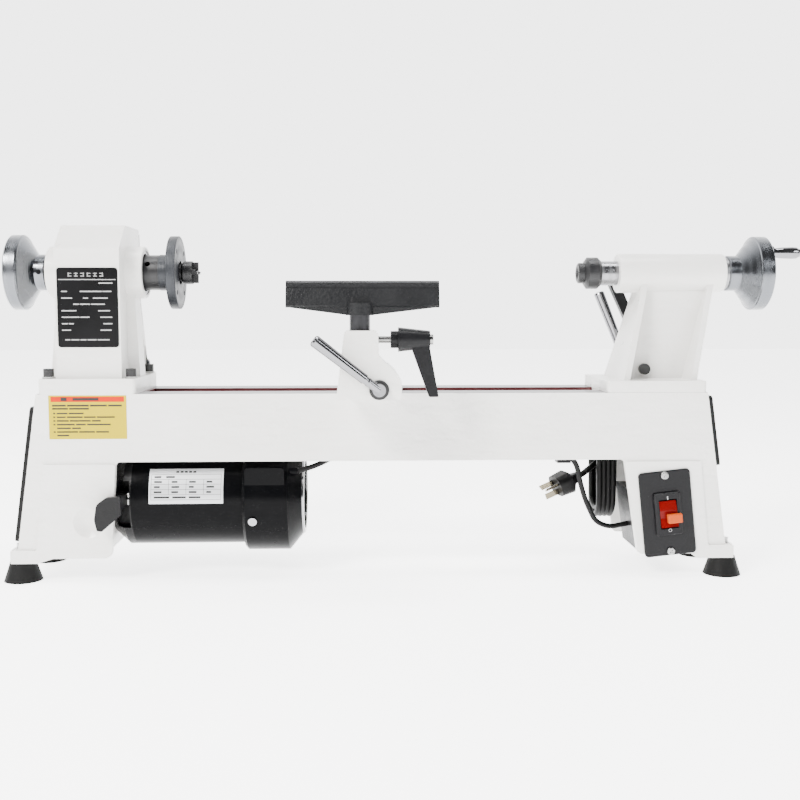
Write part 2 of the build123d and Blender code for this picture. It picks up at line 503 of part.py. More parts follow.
SPUR_RIGHT = -220.0
with BuildPart() as spur_centre:
    turned([(NOSE_RIGHT - 45, 0), (SPUR_RIGHT, 0), (SPUR_RIGHT - 5, 2.2), (-226, 2.2), (-226, 4), (-229, 4),
            (-229, 12.2), (-238, 12.2), (-240.5, 9), (NOSE_RIGHT + 1, 8.9), (NOSE_RIGHT, 8.85),
            (NOSE_RIGHT - 45, 7.7)], AXIS_Z)
    with PolarLocations(0, 1):
        for turn in (0, 90):
            with Locations(Location((-226.2, BED_Y, AXIS_Z), (turn, 0, 0))):
                Box(6.5, 3.2, 22)
save(spur_centre, "spur_centre")


def step_radii(ratio):
    """Radii of one belt step on the motor pulley and on the spindle pulley."""
    driver = CENTRE_DISTANCE_SUM * ratio / (1 + ratio)
    return driver, CENTRE_DISTANCE_SUM - driver


def pulley_profile(index, bore):
    """Outline of a five-step pulley: index 0 is the motor's, 1 the spindle's."""
    outline = [(PULLEY_LEFT, bore)]
    for step, ratio in enumerate(SPEED_RATIOS):
        radius = step_radii(ratio)[index]
        x = PULLEY_LEFT + step * STEP_WIDTH
        outline += [(x, radius), (x + STEP_WIDTH, radius)]
    outline.append((PULLEY_LEFT + PULLEY_WIDTH, bore))
    return outline


with BuildPart() as spindle_pulley:
    turned(pulley_profile(1, SPINDLE_RADIUS), AXIS_Z)
save(spindle_pulley, "spindle_pulley")

WHEEL_OUT, WHEEL_IN = -417.0, -380.5
with BuildPart() as headstock_handwheel:
    turned([(WHEEL_IN, 10), (WHEEL_IN, 18), (WHEEL_IN - 1, 19), (-391, 19), (-402.8, WHEEL_RADIUS - 3),
            (-403.3, WHEEL_RADIUS - 1.5), (-404.8, WHEEL_RADIUS), (WHEEL_OUT + 1.5, WHEEL_RADIUS),
            (WHEEL_OUT, WHEEL_RADIUS - 1.5), (WHEEL_OUT, WHEEL_RADIUS - 7), (-410, 22), (-410.5, 10)], AXIS_Z)
    with BuildSketch(Plane(origin=(-386, BED_Y, AXIS_Z), x_dir=(1, 0, 0), z_dir=(0, -1, 0))) as set_hole:
        Circle(2.5)
    extrude(set_hole.sketch, amount=25, mode=Mode.SUBTRACT)
save(headstock_handwheel, "headstock_handwheel")

with BuildPart() as set_screws:
    round_y(-386, AXIS_Z, -18.2, -10, 2.5)
save(set_screws, "set_screws")

# ---------------------------------------------------------------- belt
BELT_X = PULLEY_LEFT + (BELT_STEP + 0.5) * STEP_WIDTH
DRIVER_RADIUS, DRIVEN_RADIUS = step_radii(SPEED_RATIOS[BELT_STEP])


def belt_loop(grow):
    """Outline of the belt round both pulleys, grown outwards: two discs and their common tangents."""
    over, under = DRIVEN_RADIUS + grow, DRIVER_RADIUS + grow
    rise = (over - under) / (AXIS_Z - MOTOR_Z)
    spread = math.sqrt(1 - rise ** 2)
    with Locations((0, AXIS_Z)):
        Circle(over)
    with Locations((0, MOTOR_Z)):
        Circle(under)
    Polygon((-over * spread, AXIS_Z + over * rise), (-under * spread, MOTOR_Z + under * rise),
            (under * spread, MOTOR_Z + under * rise), (over * spread, AXIS_Z + over * rise), align=None)


with BuildPart() as drive_belt:
    with BuildSketch(across(BELT_X - STEP_WIDTH / 2 + 0.3)) as loop:
        belt_loop(RUN + BELT_THICKNESS)
    extrude(loop.sketch, amount=STEP_WIDTH - 0.6)
    with BuildSketch(across(BELT_X - STEP_WIDTH / 2 + 0.3)) as hollow:
        belt_loop(RUN)
    extrude(hollow.sketch, amount=STEP_WIDTH - 0.6, mode=Mode.SUBTRACT)
save(drive_belt, "drive_belt")

# ---------------------------------------------------------------- motor
BELL_RIGHT, SHELL_RIGHT, COVER_RIGHT = -289.0, -174.0, -113.0
SHELL_WALL = 2.5
SHAFT_RADIUS = 7.0
LUG_RIGHT = -306.0
HUB_LEFT, HUB_RIGHT = -305.5, -294.5
POCKET = (-306.0, -290.5, -62.0, -27.0, 54.0, 104.0)
with BuildPart() as motor_end_bell:
    turned([(MOTOR_LEFT, SHAFT_RADIUS + RUN), (BELL_RIGHT, SHAFT_RADIUS + RUN), (BELL_RIGHT, MOTOR_RADIUS),
            (-297, MOTOR_RADIUS), (MOTOR_LEFT, MOTOR_RADIUS - 13)], MOTOR_Z)
    for y0, y1 in ((-47, -20), (20, 47)):
        block(MOTOR_LEFT, LUG_RIGHT, y0, y1, STUD_Z - MOTOR_LIFT - 14, STUD_Z + 12)
    block(*POCKET, Mode.SUBTRACT)
    block(POCKET[0], POCKET[1], -POCKET[3], -POCKET[2], POCKET[4], POCKET[5], Mode.SUBTRACT)
    for y in (-STUD_Y, STUD_Y):
        for drop in (0, MOTOR_LIFT):
            round_x(MOTOR_LEFT - 1, LUG_RIGHT + 1, STUD_RADIUS + 0.3, STUD_Z - drop, y, Mode.SUBTRACT)
        block(MOTOR_LEFT - 1, LUG_RIGHT + 1, y - STUD_RADIUS - 0.3, y + STUD_RADIUS + 0.3, STUD_Z - MOTOR_LIFT,
              STUD_Z, Mode.SUBTRACT)
save(motor_end_bell, "motor_end_bell")

with BuildPart() as motor_shell:
    turned([(BELL_RIGHT, MOTOR_RADIUS), (SHELL_RIGHT, MOTOR_RADIUS), (SHELL_RIGHT, MOTOR_RADIUS - SHELL_WALL),
            (BELL_RIGHT, MOTOR_RADIUS - SHELL_WALL)], MOTOR_Z)
    turned([(-275, 27.5), (-200, 27.5), (-200, MOTOR_RADIUS - SHELL_WALL + 1),
            (-275, MOTOR_RADIUS - SHELL_WALL + 1)], MOTOR_Z)
save(motor_shell, "motor_shell")

HUMP_LEFT, HUMP_RIGHT, HUMP_BOTTOM, HUMP_TOP, HUMP_FRONT = -171.0, -130.0, 97.0, 118.0, -57.0
LEAD_END_X, LEAD_END_Y, LEAD_END_Z = -116.6, -44.0, 113.0
SCREW_X, SCREW_TILT = -163.0, 18.0
with BuildPart() as motor_fan_cover:
    turned([(SHELL_RIGHT, MOTOR_RADIUS - SHELL_WALL), (SHELL_RIGHT, FAN_COVER_RADIUS - 3),
            (SHELL_RIGHT + 3, FAN_COVER_RADIUS), (-127, FAN_COVER_RADIUS), (COVER_RIGHT, 43), (COVER_RIGHT, 40),
            (-128, FAN_COVER_RADIUS - 3), (SHELL_RIGHT + 6, FAN_COVER_RADIUS - 3),
            (SHELL_RIGHT + 6, MOTOR_RADIUS - SHELL_WALL)], MOTOR_Z)
    rounded_slab([(HUMP_LEFT, HUMP_BOTTOM), (HUMP_RIGHT, HUMP_BOTTOM), (HUMP_RIGHT, HUMP_TOP), (HUMP_LEFT, HUMP_TOP)],
                 [1, 1, 4, 4], HUMP_FRONT, -20)
    round_x(SHELL_RIGHT + 6.5, -129.5, FAN_COVER_RADIUS - 3, MOTOR_Z, 0, Mode.SUBTRACT)
    round_x(HUMP_RIGHT - 1, LEAD_END_X - 0.4, 4.2, LEAD_END_Z, LEAD_END_Y)
    with BuildSketch(across(COVER_RIGHT - 3)) as vent:
        with Locations((0, MOTOR_Z)):
            Circle(44)
            for ring in (12, 20, 28, 36):
                with PolarLocations(ring, int(ring / 2)):
                    Circle(1.9, mode=Mode.SUBTRACT)
    extrude(vent.sketch, amount=2)
save(motor_fan_cover, "motor_fan_cover")

with BuildPart() as motor_trim:
    turned([(COVER_RIGHT + 0.1, 38), (COVER_RIGHT + 2.1, 38), (COVER_RIGHT + 2.1, 42.5), (COVER_RIGHT + 0.1, 43)],
           MOTOR_Z)
    for tilt in (-SCREW_TILT, 180 - SCREW_TILT, 180 + SCREW_TILT):
        radial = Vector(0, -math.cos(math.radians(tilt)), math.sin(math.radians(tilt)))
        start = Vector(SCREW_X, BED_Y, MOTOR_Z) + radial * FAN_COVER_RADIUS
        with BuildSketch(Plane(origin=start, x_dir=(1, 0, 0), z_dir=radial)) as head:
            Circle(4.5)
        extrude(head.sketch, amount=2.6)
save(motor_trim, "motor_trim")

with BuildPart() as motor_shaft:
    turned([(PULLEY_LEFT - 1, 0), (-145, 0), (-145, SHAFT_RADIUS), (-150, SHAFT_RADIUS), (-150, 14), (-163, 14),
            (-163, 34), (-166, 34), (-166, SHAFT_RADIUS), (-203, SHAFT_RADIUS), (-203, 27), (-272, 27),
            (-272, SHAFT_RADIUS), (PULLEY_LEFT - 1, SHAFT_RADIUS)], MOTOR_Z)
    for i in range(7):
        turn = 2 * math.pi * i / 7
        with Locations(Location((-157, BED_Y + 30 * math.cos(turn), MOTOR_Z + 30 * math.sin(turn)),
                                (math.degrees(turn), 0, 0))):
            Box(13, 34, 2)
save(motor_shaft, "motor_shaft")

with BuildPart() as motor_pulley:
    turned(pulley_profile(0, SHAFT_RADIUS), MOTOR_Z)
save(motor_pulley, "motor_pulley")

with BuildPart() as motor_studs:
    round_x(MOTOR_WALL_RIGHT - MOTOR_WALL, -291.3, STUD_RADIUS, STUD_Z, -STUD_Y)
    round_x(MOTOR_WALL_RIGHT - MOTOR_WALL, -297.0, STUD_RADIUS, STUD_Z, STUD_Y)
    hexagon_x(HUB_RIGHT + 0.3, -291.8, 12, STUD_Z, -STUD_Y)
    hexagon_x(LUG_RIGHT + 0.4, LUG_RIGHT + 7, 13, STUD_Z, STUD_Y)
save(motor_studs, "motor_studs")

PADDLE_FRONT, PADDLE_BACK = -73.0, -67.0
with BuildPart() as motor_lock_lever:
    round_x(HUB_LEFT + 0.1, HUB_RIGHT, 8, STUD_Z, -STUD_Y)
    slab([(-301.5, STUD_Z - 6), (HUB_RIGHT, STUD_Z - 6), (HUB_RIGHT, STUD_Z + 6), (-301.5, STUD_Z + 6)],
         PADDLE_FRONT, -STUD_Y)
    rounded_slab([(HUB_RIGHT, STUD_Z + 8), (-309, STUD_Z + 7), (-319, STUD_Z), (-321.5, 68), (-319, 57), (-314, 56),
                  (HUB_RIGHT, 73)], [2, 8, 8, 10, 2, 2, 2], PADDLE_FRONT, PADDLE_BACK)
    round_x(HUB_LEFT - 1, HUB_RIGHT + 1, STUD_RADIUS + RUN, STUD_Z, -STUD_Y, Mode.SUBTRACT)
save(motor_lock_lever, "motor_lock_lever")

# ---------------------------------------------------------------- banjo
BANJO_BOTTOM, BANJO_TOP = BED_TOP + 0.3, 261.0
BANJO_FRONT, BANJO_BLOCK_REAR, BANJO_REAR = -138.0, -78.0, 38.0
LOCK_Z = 252.0
LOCK_STUD_RADIUS = 3.3
EYE_RADIUS, EYE_OUTER, EYE_HALF = CAM_RADIUS + 0.35, 9.8, 5.0
with BuildPart() as banjo_casting:
    rounded_slab([(-74, BANJO_BOTTOM), (-12, BANJO_BOTTOM), (-11, 214), (-21, 225), (-33, 236), (-34, BANJO_TOP),
                  (-66, BANJO_TOP), (-70, 228)], [2, 4, 12, 8, 14, 4, 4, 30], BANJO_FRONT, BANJO_BLOCK_REAR)
    rounded_slab([(-66, BANJO_BOTTOM), (-12, BANJO_BOTTOM), (-12, 214), (-20, 222), (-58, 222), (-66, 214)],
                 [1, 1, 3, 3, 3, 3], BANJO_BLOCK_REAR - 1, BANJO_REAR)
    # bore for the rest's post, and the clamp screw's way in from the right
    round_z(POST_X, POST_Y, 211, BANJO_TOP + 1, POST_RADIUS + RUN, Mode.SUBTRACT)
    round_x(POST_X, -20, LOCK_STUD_RADIUS + RUN, LOCK_Z, POST_Y, Mode.SUBTRACT)
    # cam shaft's bore from front to rear, and the pocket of the clamp bolt's eye
    round_y(BANJO_CAM_X, BANJO_CAM_Z, BANJO_FRONT - 1, BANJO_REAR - 4, CAM_RADIUS + RUN, Mode.SUBTRACT)
    block(BANJO_CAM_X - 10.6, BANJO_CAM_X + 10.6, -22, 27, BANJO_BOTTOM - 1, BANJO_CAM_Z + 10.6, Mode.SUBTRACT)
save(banjo_casting, "banjo_casting")


def cam_lever(x, z, outward, end_y, inner_y, waist, angle, length, steps, name):
    """A cross shaft with an eccentric stretch, and its cranked lever with a round grip.

    The shaft leaves its casting at end_y, outward is the sense along Y and angle the lever's rise from +X;
    waist is the stretch turned down to the eccentric, steps how far the lever stands out along its length.
    """
    up = Vector(math.cos(math.radians(angle)), 0, math.sin(math.radians(angle)))
    out = Vector(0, outward, 0)
    hub = Vector(x, BED_Y + end_y, z) + out * 4.5
    knee = hub + up * 13 + out * steps[0]
    grip_start = hub + up * 21 + out * steps[1]
    grip_end = hub + up * length + out * steps[2]
    with BuildPart() as piece:
        round_y(x, z, *sorted((end_y + outward * 3.5, inner_y)), CAM_RADIUS)
        with BuildSketch(front(waist[0])) as ring:
            with Locations((x, z)):
                Circle(CAM_RADIUS + 1)
            with Locations((x, z + CAM_THROW)):
                Circle(CAM_RADIUS - CAM_THROW - 0.2, mode=Mode.SUBTRACT)
        extrude(ring.sketch, amount=waist[0] - waist[1], mode=Mode.SUBTRACT)
        round_y(x, z, *sorted((end_y + outward * 0.4, end_y + outward * 2.0)), 9.5)
        round_y(x, z, *sorted((end_y + outward * 2.0, end_y + outward * 8.0)), 6.5)
        for start, end in ((hub, knee), (knee, grip_start)):
            with BuildSketch(Plane(origin=start, z_dir=(end - start).normalized())) as neck:
                Circle(4.0)
            extrude(neck.sketch, amount=(end - start).length)
            with Locations(end):
                Sphere(4.4)
        # the round grip, widening to a domed end
        axis = (grip_end - grip_start).normalized()
        reach = (grip_end - grip_start).length
        grip_plane = Plane(origin=grip_start, x_dir=axis, z_dir=axis.cross(Vector(0, 1, 0)).normalized())
        with BuildSketch(grip_plane) as grip:
            with BuildLine():
                Polyline((-3.5, 0), (-3.5, 4.9), (reach, 5.9), (reach + 1.6, 5.2), (reach + 2.4, 3.6), (reach + 2.4, 0),
                         close=True)
            make_face()
        revolve(grip.sketch, axis=Axis(grip_start, axis))
    save(piece, name)


cam_lever(BANJO_CAM_X, BANJO_CAM_Z, -1, BANJO_FRONT, 33, (-21, 26), 142, 76, (3, 5, 10), "banjo_cam_lever")

PLATE_TOP, PLATE_BOTTOM = WAY_BOTTOM - GAP, WAY_BOTTOM - GAP - 9
NUT_BOTTOM = PLATE_BOTTOM - 0.2 - 9.5


def clamp_bolt(x, eye_z, bottom, name):
    """An eye bolt round a cam shaft, hanging through the bed's slot, with its nut."""
    with BuildPart() as piece:
        round_y(x, eye_z, -EYE_HALF, EYE_HALF, EYE_OUTER)
        round_z(x, 0, bottom, eye_z - EYE_RADIUS - 1, 5.0)
        round_y(x, eye_z, -EYE_HALF - 1, EYE_HALF + 1, EYE_RADIUS, Mode.SUBTRACT)
        hexagon_z(x, 0, bottom + 2, bottom + 9.5, 17)
    save(piece, name)


def clamp_plate(x, half_length, guide_top, name):
    """The plate under the ways, with a tongue that runs in the slot."""
    with BuildPart() as piece:
        block(x - half_length, x + half_length, -29, 29, PLATE_BOTTOM, PLATE_TOP)
        block(x - 12, x + 12, -SLOT_HALF + GAP, SLOT_HALF - GAP, PLATE_TOP - 1, guide_top)
        round_z(x, 0, PLATE_BOTTOM - 1, guide_top + 1, 5.0 + RUN, Mode.SUBTRACT)
    save(piece, name)


clamp_bolt(BANJO_CAM_X, BANJO_CAM_Z, NUT_BOTTOM, "banjo_clamp_bolt")
clamp_plate(BANJO_CAM_X, 30, BED_TOP - 2.5, "banjo_clamp_plate")

REST_LEFT, REST_RIGHT, REST_TOP = -122.8, 26.0, 309.0
REST_COLLAR = 275.6
with BuildPart() as tool_rest_post:
    round_z(POST_X, POST_Y, 226, REST_COLLAR + 9, POST_RADIUS)
save(tool_rest_post, "tool_rest_post")

with BuildPart() as tool_rest_bar:
    with BuildSketch(across(REST_LEFT)) as section:
        with BuildLine():
            Polyline((-98, REST_TOP), (-106, REST_TOP), (-109, REST_TOP - 2), (-109, REST_TOP - 7.2),
                     (-110.4, REST_TOP - 7.2), (-114.5, 285), (-112, 283), (-103, 283), (-98, 301), close=True)
        make_face()
    extrude(section.sketch, amount=REST_RIGHT - REST_LEFT)
    fillet(tool_rest_bar.edges().filter_by(Axis.X).filter_by(lambda e: e.center().Z > REST_TOP - 0.1), 1.5)
    slab([(REST_LEFT, 286), (REST_LEFT, 283.5), (POST_X - 11, REST_COLLAR), (POST_X + 11, REST_COLLAR),
          (REST_RIGHT, 283.5), (REST_RIGHT, 286)], -112.5, -102.5)
    with BuildSketch(level(REST_COLLAR)) as collar:
        with Locations((POST_X, POST_Y)):
            Circle(POST_RADIUS + 3.5)
    extrude(collar.sketch, amount=12)
    round_z(POST_X, POST_Y, REST_COLLAR - 1, REST_COLLAR + 9.3, POST_RADIUS + RUN, Mode.SUBTRACT)
save(tool_rest_bar, "tool_rest_bar")


def ratchet_handle(origin, out, arm, collar, hub, blade_outline, name):
    """A ratchet clamping handle: a collar and hub along out, and a flat arm running along arm.

    blade_outline holds (distance along out, distance along arm) corners.
    """
    side = out.cross(arm)
    with BuildPart() as piece:
        for start, length, radius0, radius1 in ((0, collar, 8.4, 8.4), (collar - 0.2, hub - collar, 12.0, 8.5)):
            with BuildSketch(Plane(origin=origin + out * start, z_dir=out)) as foot:
                Circle(radius0)
            with BuildSketch(Plane(origin=origin + out * (start + length), z_dir=out)) as head:
                Circle(radius1)
            loft([foot.sketch, head.sketch])
        with BuildSketch(Plane(origin=origin - side * 5.5, x_dir=out, z_dir=side)) as blade:
            with BuildLine():
                FilletPolyline(*blade_outline, radius=[1, 1, 1.2, 1.2], close=True)
            make_face()
        extrude(blade.sketch, amount=11)
        with BuildSketch(Plane(origin=origin - out, z_dir=out)) as bore:
            Circle(LOCK_STUD_RADIUS)
        extrude(bore.sketch, amount=hub + 5, mode=Mode.SUBTRACT)
    save(piece, name)


def ratchet_stud(origin, out, inner, hub, name):
    """The threaded stud of a ratchet handle, with its end screw."""
    with BuildPart() as piece:
        with BuildSketch(Plane(origin=origin + out * inner, z_dir=out)) as stud:
            Circle(LOCK_STUD_RADIUS)
        extrude(stud.sketch, amount=hub - inner)
        with BuildSketch(Plane(origin=origin + out * (hub - 0.2), z_dir=out)) as head:
            Circle(5)
        extrude(head.sketch, amount=3.2)
        with BuildSketch(Plane(origin=origin + out * (hub + 1.8), z_dir=out)) as drive:
            Rectangle(1.2, 7)
            Rectangle(7, 1.2)
        extrude(drive.sketch, amount=3, mode=Mode.SUBTRACT)
    save(piece, name)


lock_origin = Vector(-21.3, BED_Y + POST_Y, LOCK_Z)
ratchet_handle(lock_origin, Vector(1, 0, 0), Vector(0, 0, -1), 7.5, 38.5,
               [(19, 5), (37.5, 5), (46.8, 56), (37.5, 56)], "rest_lock_handle")
ratchet_stud(lock_origin, Vector(1, 0, 0), POST_X + POST_RADIUS + 0.4 + 21.3, 38.5, "rest_lock_stud")

# ---------------------------------------------------------------- tailstock
LEAN_RUN = math.tan(math.radians(LEAN))
COLUMN_LEFT, COLUMN_RIGHT, FLANGE = 225.0, 302.0, 6.2
TAIL_TOP = BED_TOP + TAIL_BASE
COLUMN_TOP = AXIS_Z - 12
COLUMN_SHIFT = (COLUMN_TOP - TAIL_TOP) * LEAN_RUN
WEB_HALF = 12.0
QUILL_LEFT = BARREL_LEFT - QUILL_OUT
KEY_X = 236.0
with BuildPart() as tailstock_casting:
    block(TAIL_LEFT, TAIL_RIGHT, -BED_HALF, BED_HALF, BED_TOP + 0.2, TAIL_TOP)
    fillet(tailstock_casting.edges().filter_by(Axis.Z), 4)
    block(TAIL_LEFT + 1, TAIL_RIGHT - 19, -SLOT_HALF + GAP, SLOT_HALF - GAP, BED_TOP - 7, BED_TOP + 1)
    for y in (-22, 22):
        block(TAIL_LEFT - 1, TAIL_RIGHT + 1, y - 2, y + 2, BED_TOP - 1, BED_TOP + 3, Mode.SUBTRACT)
    for left, half0, half1 in ((COLUMN_LEFT, 46, 17), (COLUMN_RIGHT - FLANGE, 46, 17)):
        tapered_bar(left, left + FLANGE, half0, TAIL_TOP - 1, left + COLUMN_SHIFT, left + FLANGE + COLUMN_SHIFT,
                    half1, COLUMN_TOP)
    tapered_bar(COLUMN_LEFT + 1, COLUMN_RIGHT - 1, WEB_HALF, TAIL_TOP - 1, COLUMN_LEFT + 1 + COLUMN_SHIFT,
                COLUMN_RIGHT - 1 + COLUMN_SHIFT, WEB_HALF - 3, COLUMN_TOP)
    round_x(BARREL_LEFT, BARREL_RIGHT, BARREL_RADIUS, AXIS_Z)
    fillet(tailstock_casting.edges().filter_by(GeomType.CIRCLE)
           .filter_by(lambda e: abs(e.radius - BARREL_RADIUS) < 0.01), 1.5)
    # quill's bore, the screw's bore behind it, and the lock's tapped hole from the rear
    round_x(BARREL_LEFT - 1, BARREL_RIGHT - 5, QUILL_RADIUS + RUN, AXIS_Z, 0, Mode.SUBTRACT)
    round_x(BARREL_RIGHT - 6, BARREL_RIGHT + 1, 6.0 + RUN, AXIS_Z, 0, Mode.SUBTRACT)
    round_y(229, AXIS_Z, 0, BARREL_RADIUS + 4, LOCK_STUD_RADIUS + RUN, Mode.SUBTRACT)
    # cam shaft's bore and the pocket of the clamp bolt's eye
    round_y(TAIL_CAM_X, TAIL_CAM_Z, -WEB_HALF - 3, WEB_HALF + 3, CAM_RADIUS + RUN, Mode.SUBTRACT)
    block(TAIL_CAM_X - 10.6, TAIL_CAM_X + 10.6, -7.5, 7.5, BED_TOP - 8, TAIL_CAM_Z + 10.6, Mode.SUBTRACT)
save(tailstock_casting, "tailstock_casting")

clamp_bolt(TAIL_CAM_X, TAIL_CAM_Z, NUT_BOTTOM, "tailstock_clamp_bolt")
clamp_plate(TAIL_CAM_X, 35, BED_TOP - 7.6, "tailstock_clamp_plate")
cam_lever(TAIL_CAM_X, TAIL_CAM_Z, 1, 52.5, -16.5, (-6.5, 6.5), 112, 88, (1.5, 2.5, 5), "tailstock_cam_lever")

with BuildPart() as quill:
    round_x(QUILL_LEFT, QUILL_LEFT + 112, QUILL_RADIUS, AXIS_Z)
    turned([(QUILL_LEFT - 1, 0), (QUILL_LEFT + 42, 0), (QUILL_LEFT + 42, 7.7), (QUILL_LEFT - 1, 8.95)], AXIS_Z, 0,
           Mode.SUBTRACT)
    round_x(QUILL_LEFT + 41, QUILL_LEFT + 113, 6.0 + RUN, AXIS_Z, 0, Mode.SUBTRACT)
    block(QUILL_LEFT + 6, QUILL_LEFT + 90, 10.2, 14, AXIS_Z - 4.2, AXIS_Z + 4.2, Mode.SUBTRACT)
save(quill, "quill")

CENTRE_LEFT = 180.6
with BuildPart() as live_centre:
    turned([(CENTRE_LEFT, 0), (QUILL_LEFT + 40, 0), (QUILL_LEFT + 40, 7.6), (QUILL_LEFT + 1, 8.8),
            (QUILL_LEFT - 0.3, 8.8), (QUILL_LEFT - 0.3, 14), (QUILL_LEFT - 3.5, 17), (CENTRE_LEFT + 13, 17),
            (CENTRE_LEFT + 10, 13), (CENTRE_LEFT + 9.6, 11), (CENTRE_LEFT + 4, 11), (CENTRE_LEFT + 2.8, 9.6),
            (CENTRE_LEFT + 2.8, 7.2), (CENTRE_LEFT + 6, 2.2), (CENTRE_LEFT + 3, 1.4)], AXIS_Z)
save(live_centre, "live_centre")

TAIL_WHEEL = BARREL_RIGHT + 4.0
CRANK_RISE, CRANK_SIDE = 21.0, -21.0
with BuildPart() as tailstock_handwheel:
    turned([(TAIL_WHEEL, 6), (TAIL_WHEEL, 18), (TAIL_WHEEL + 1, 19), (TAIL_WHEEL + 12, 19), (371.5, WHEEL_RADIUS - 2.5),
            (372, WHEEL_RADIUS - 1), (373, WHEEL_RADIUS), (384.8, WHEEL_RADIUS), (386, WHEEL_RADIUS - 1.2),
            (386, WHEEL_RADIUS - 4.5), (379.5, WHEEL_RADIUS - 8), (379.5, 20), (383.5, 18), (383.5, 6)], AXIS_Z)
    round_x(378.5, 388, 7.5, AXIS_Z + CRANK_RISE, CRANK_SIDE)
    round_x(368, 389, 3.0, AXIS_Z + CRANK_RISE, CRANK_SIDE, Mode.SUBTRACT)
save(tailstock_handwheel, "tailstock_handwheel")

with BuildPart() as quill_screw:
    turned([(264, 0), (389.5, 0), (389.5, 7), (383.5, 7), (383.5, 6), (TAIL_WHEEL - 0.3, 6), (TAIL_WHEEL - 0.3, 17.5),
            (BARREL_RIGHT + 0.3, 17.5), (BARREL_RIGHT + 0.3, 6), (264, 6)], AXIS_Z)
    hexagon_x(383.5, 389.5, 17, AXIS_Z, 0)
    round_x(376, 416, 3.0, AXIS_Z + CRANK_RISE, CRANK_SIDE)
    round_x(415.6, 417, 4.6, AXIS_Z + CRANK_RISE, CRANK_SIDE)
save(quill_screw, "quill_screw")

with BuildPart() as crank_handle:
    turned([(388.4, 3 + RUN), (388.4, 5.0), (391, 5.2), (398, 6.0), (409, 6.4), (413.5, 6.1), (415.2, 5.2),
            (415.2, 3 + RUN)], AXIS_Z + CRANK_RISE, CRANK_SIDE)
save(crank_handle, "crank_handle")

quill_lock_origin = Vector(229, BED_Y + BARREL_RADIUS + 3, AXIS_Z)
lock_arm = Vector(math.sin(math.radians(25)), 0, -math.cos(math.radians(25)))
ratchet_handle(quill_lock_origin, Vector(0, 1, 0), lock_arm, 5, 26,
               [(14, 5), (25.5, 5), (25.5, 62), (16, 62)], "quill_lock_handle")
ratchet_stud(quill_lock_origin, Vector(0, 1, 0), QUILL_RADIUS + 0.5 - BARREL_RADIUS - 3, 26, "quill_lock_stud")

# ---------------------------------------------------------------- switch
def switch_plane(depth):
    """Plane parallel to the switch plate, depth in front of the leg's pad."""
    return Plane(origin=(SWITCH_X, BED_Y + PANEL - depth, SWITCH_Z), x_dir=switch_across, z_dir=(0, -1, 0))


PLATE_THICKNESS = 2.5
with BuildPart() as switch_plate:
    with BuildSketch(switch_plane(0)):
        RectangleRounded(54.5, 90, 4)
    extrude(amount=PLATE_THICKNESS)
    fillet(switch_plate.faces().sort_by(Axis.Y)[0].edges(), 1.2)
    with BuildSketch(switch_plane(PLATE_THICKNESS - 0.5)) as rim:
        RectangleRounded(27.5, 45, 2)
    extrude(rim.sketch, amount=5)
    chamfer(switch_plate.faces().sort_by(Axis.Y)[0].edges(), 1.2)
    with BuildSketch(switch_plane(-PAD_PROUD - SKIRT_WALL - 14)) as body:
        Rectangle(23.4, 34)
    extrude(body.sketch, amount=PAD_PROUD + SKIRT_WALL + 14 + 1)
    with BuildSketch(switch_plane(-13)) as well:
        Rectangle(19, 31)
    extrude(well.sketch, amount=30, mode=Mode.SUBTRACT)
save(switch_plate, "switch_plate")

ROCKER_PIVOT = 1.0
with BuildPart() as switch_rocker:
    with BuildSketch(Plane(origin=Vector(SWITCH_X, BED_Y + PANEL, SWITCH_Z) - switch_across * 9,
                           x_dir=-switch_lean, z_dir=switch_across)) as side:
        with BuildLine():
            Polyline((-13.4, 3), (-13.6, 9.3), (-4, 6.6), (4, 7.2), (13.8, 5), (13.4, 1.5), (6, -6), (-6, -6),
                     close=True)
        make_face()
    extrude(side.sketch, amount=18)
    with BuildSketch(switch_plane(-7)) as key_slot:
        with Locations((4.5, -4)):
            Rectangle(6.4, 4.4)
    extrude(key_slot.sketch, amount=20, mode=Mode.SUBTRACT)
save(switch_rocker, "switch_rocker")

with BuildPart() as safety_key:
    with BuildSketch(switch_plane(-4)) as tongue:
        with Locations((4.5, -4)):
            Rectangle(6.0, 4.0)
    extrude(tongue.sketch, amount=14)
    with BuildSketch(switch_plane(9.9)) as cap:
        with Locations((4.5, -4)):
            RectangleRounded(15, 9.5, 1)
    extrude(cap.sketch, amount=5)
    fillet(safety_key.faces().sort_by(Axis.Y)[0].edges(), 1.2)
save(safety_key, "safety_key")

with BuildPart() as switch_screws:
    with BuildSketch(switch_plane(PLATE_THICKNESS)) as heads:
        with GridLocations(1, 80.5, 1, 2):
            Circle(4.2)
    extrude(heads.sketch, amount=2.4)
    fillet(switch_screws.faces().sort_by(Axis.Y)[0:2].edges(), 1.4)
    with BuildSketch(switch_plane(PLATE_THICKNESS + 1.3)) as cross:
        with GridLocations(1, 80.5, 1, 2):
            Rectangle(4.6, 1.0, rotation=45)
            Rectangle(4.6, 1.0, rotation=-45)
    extrude(cross.sketch, amount=2, mode=Mode.SUBTRACT)
save(switch_screws, "switch_screws")

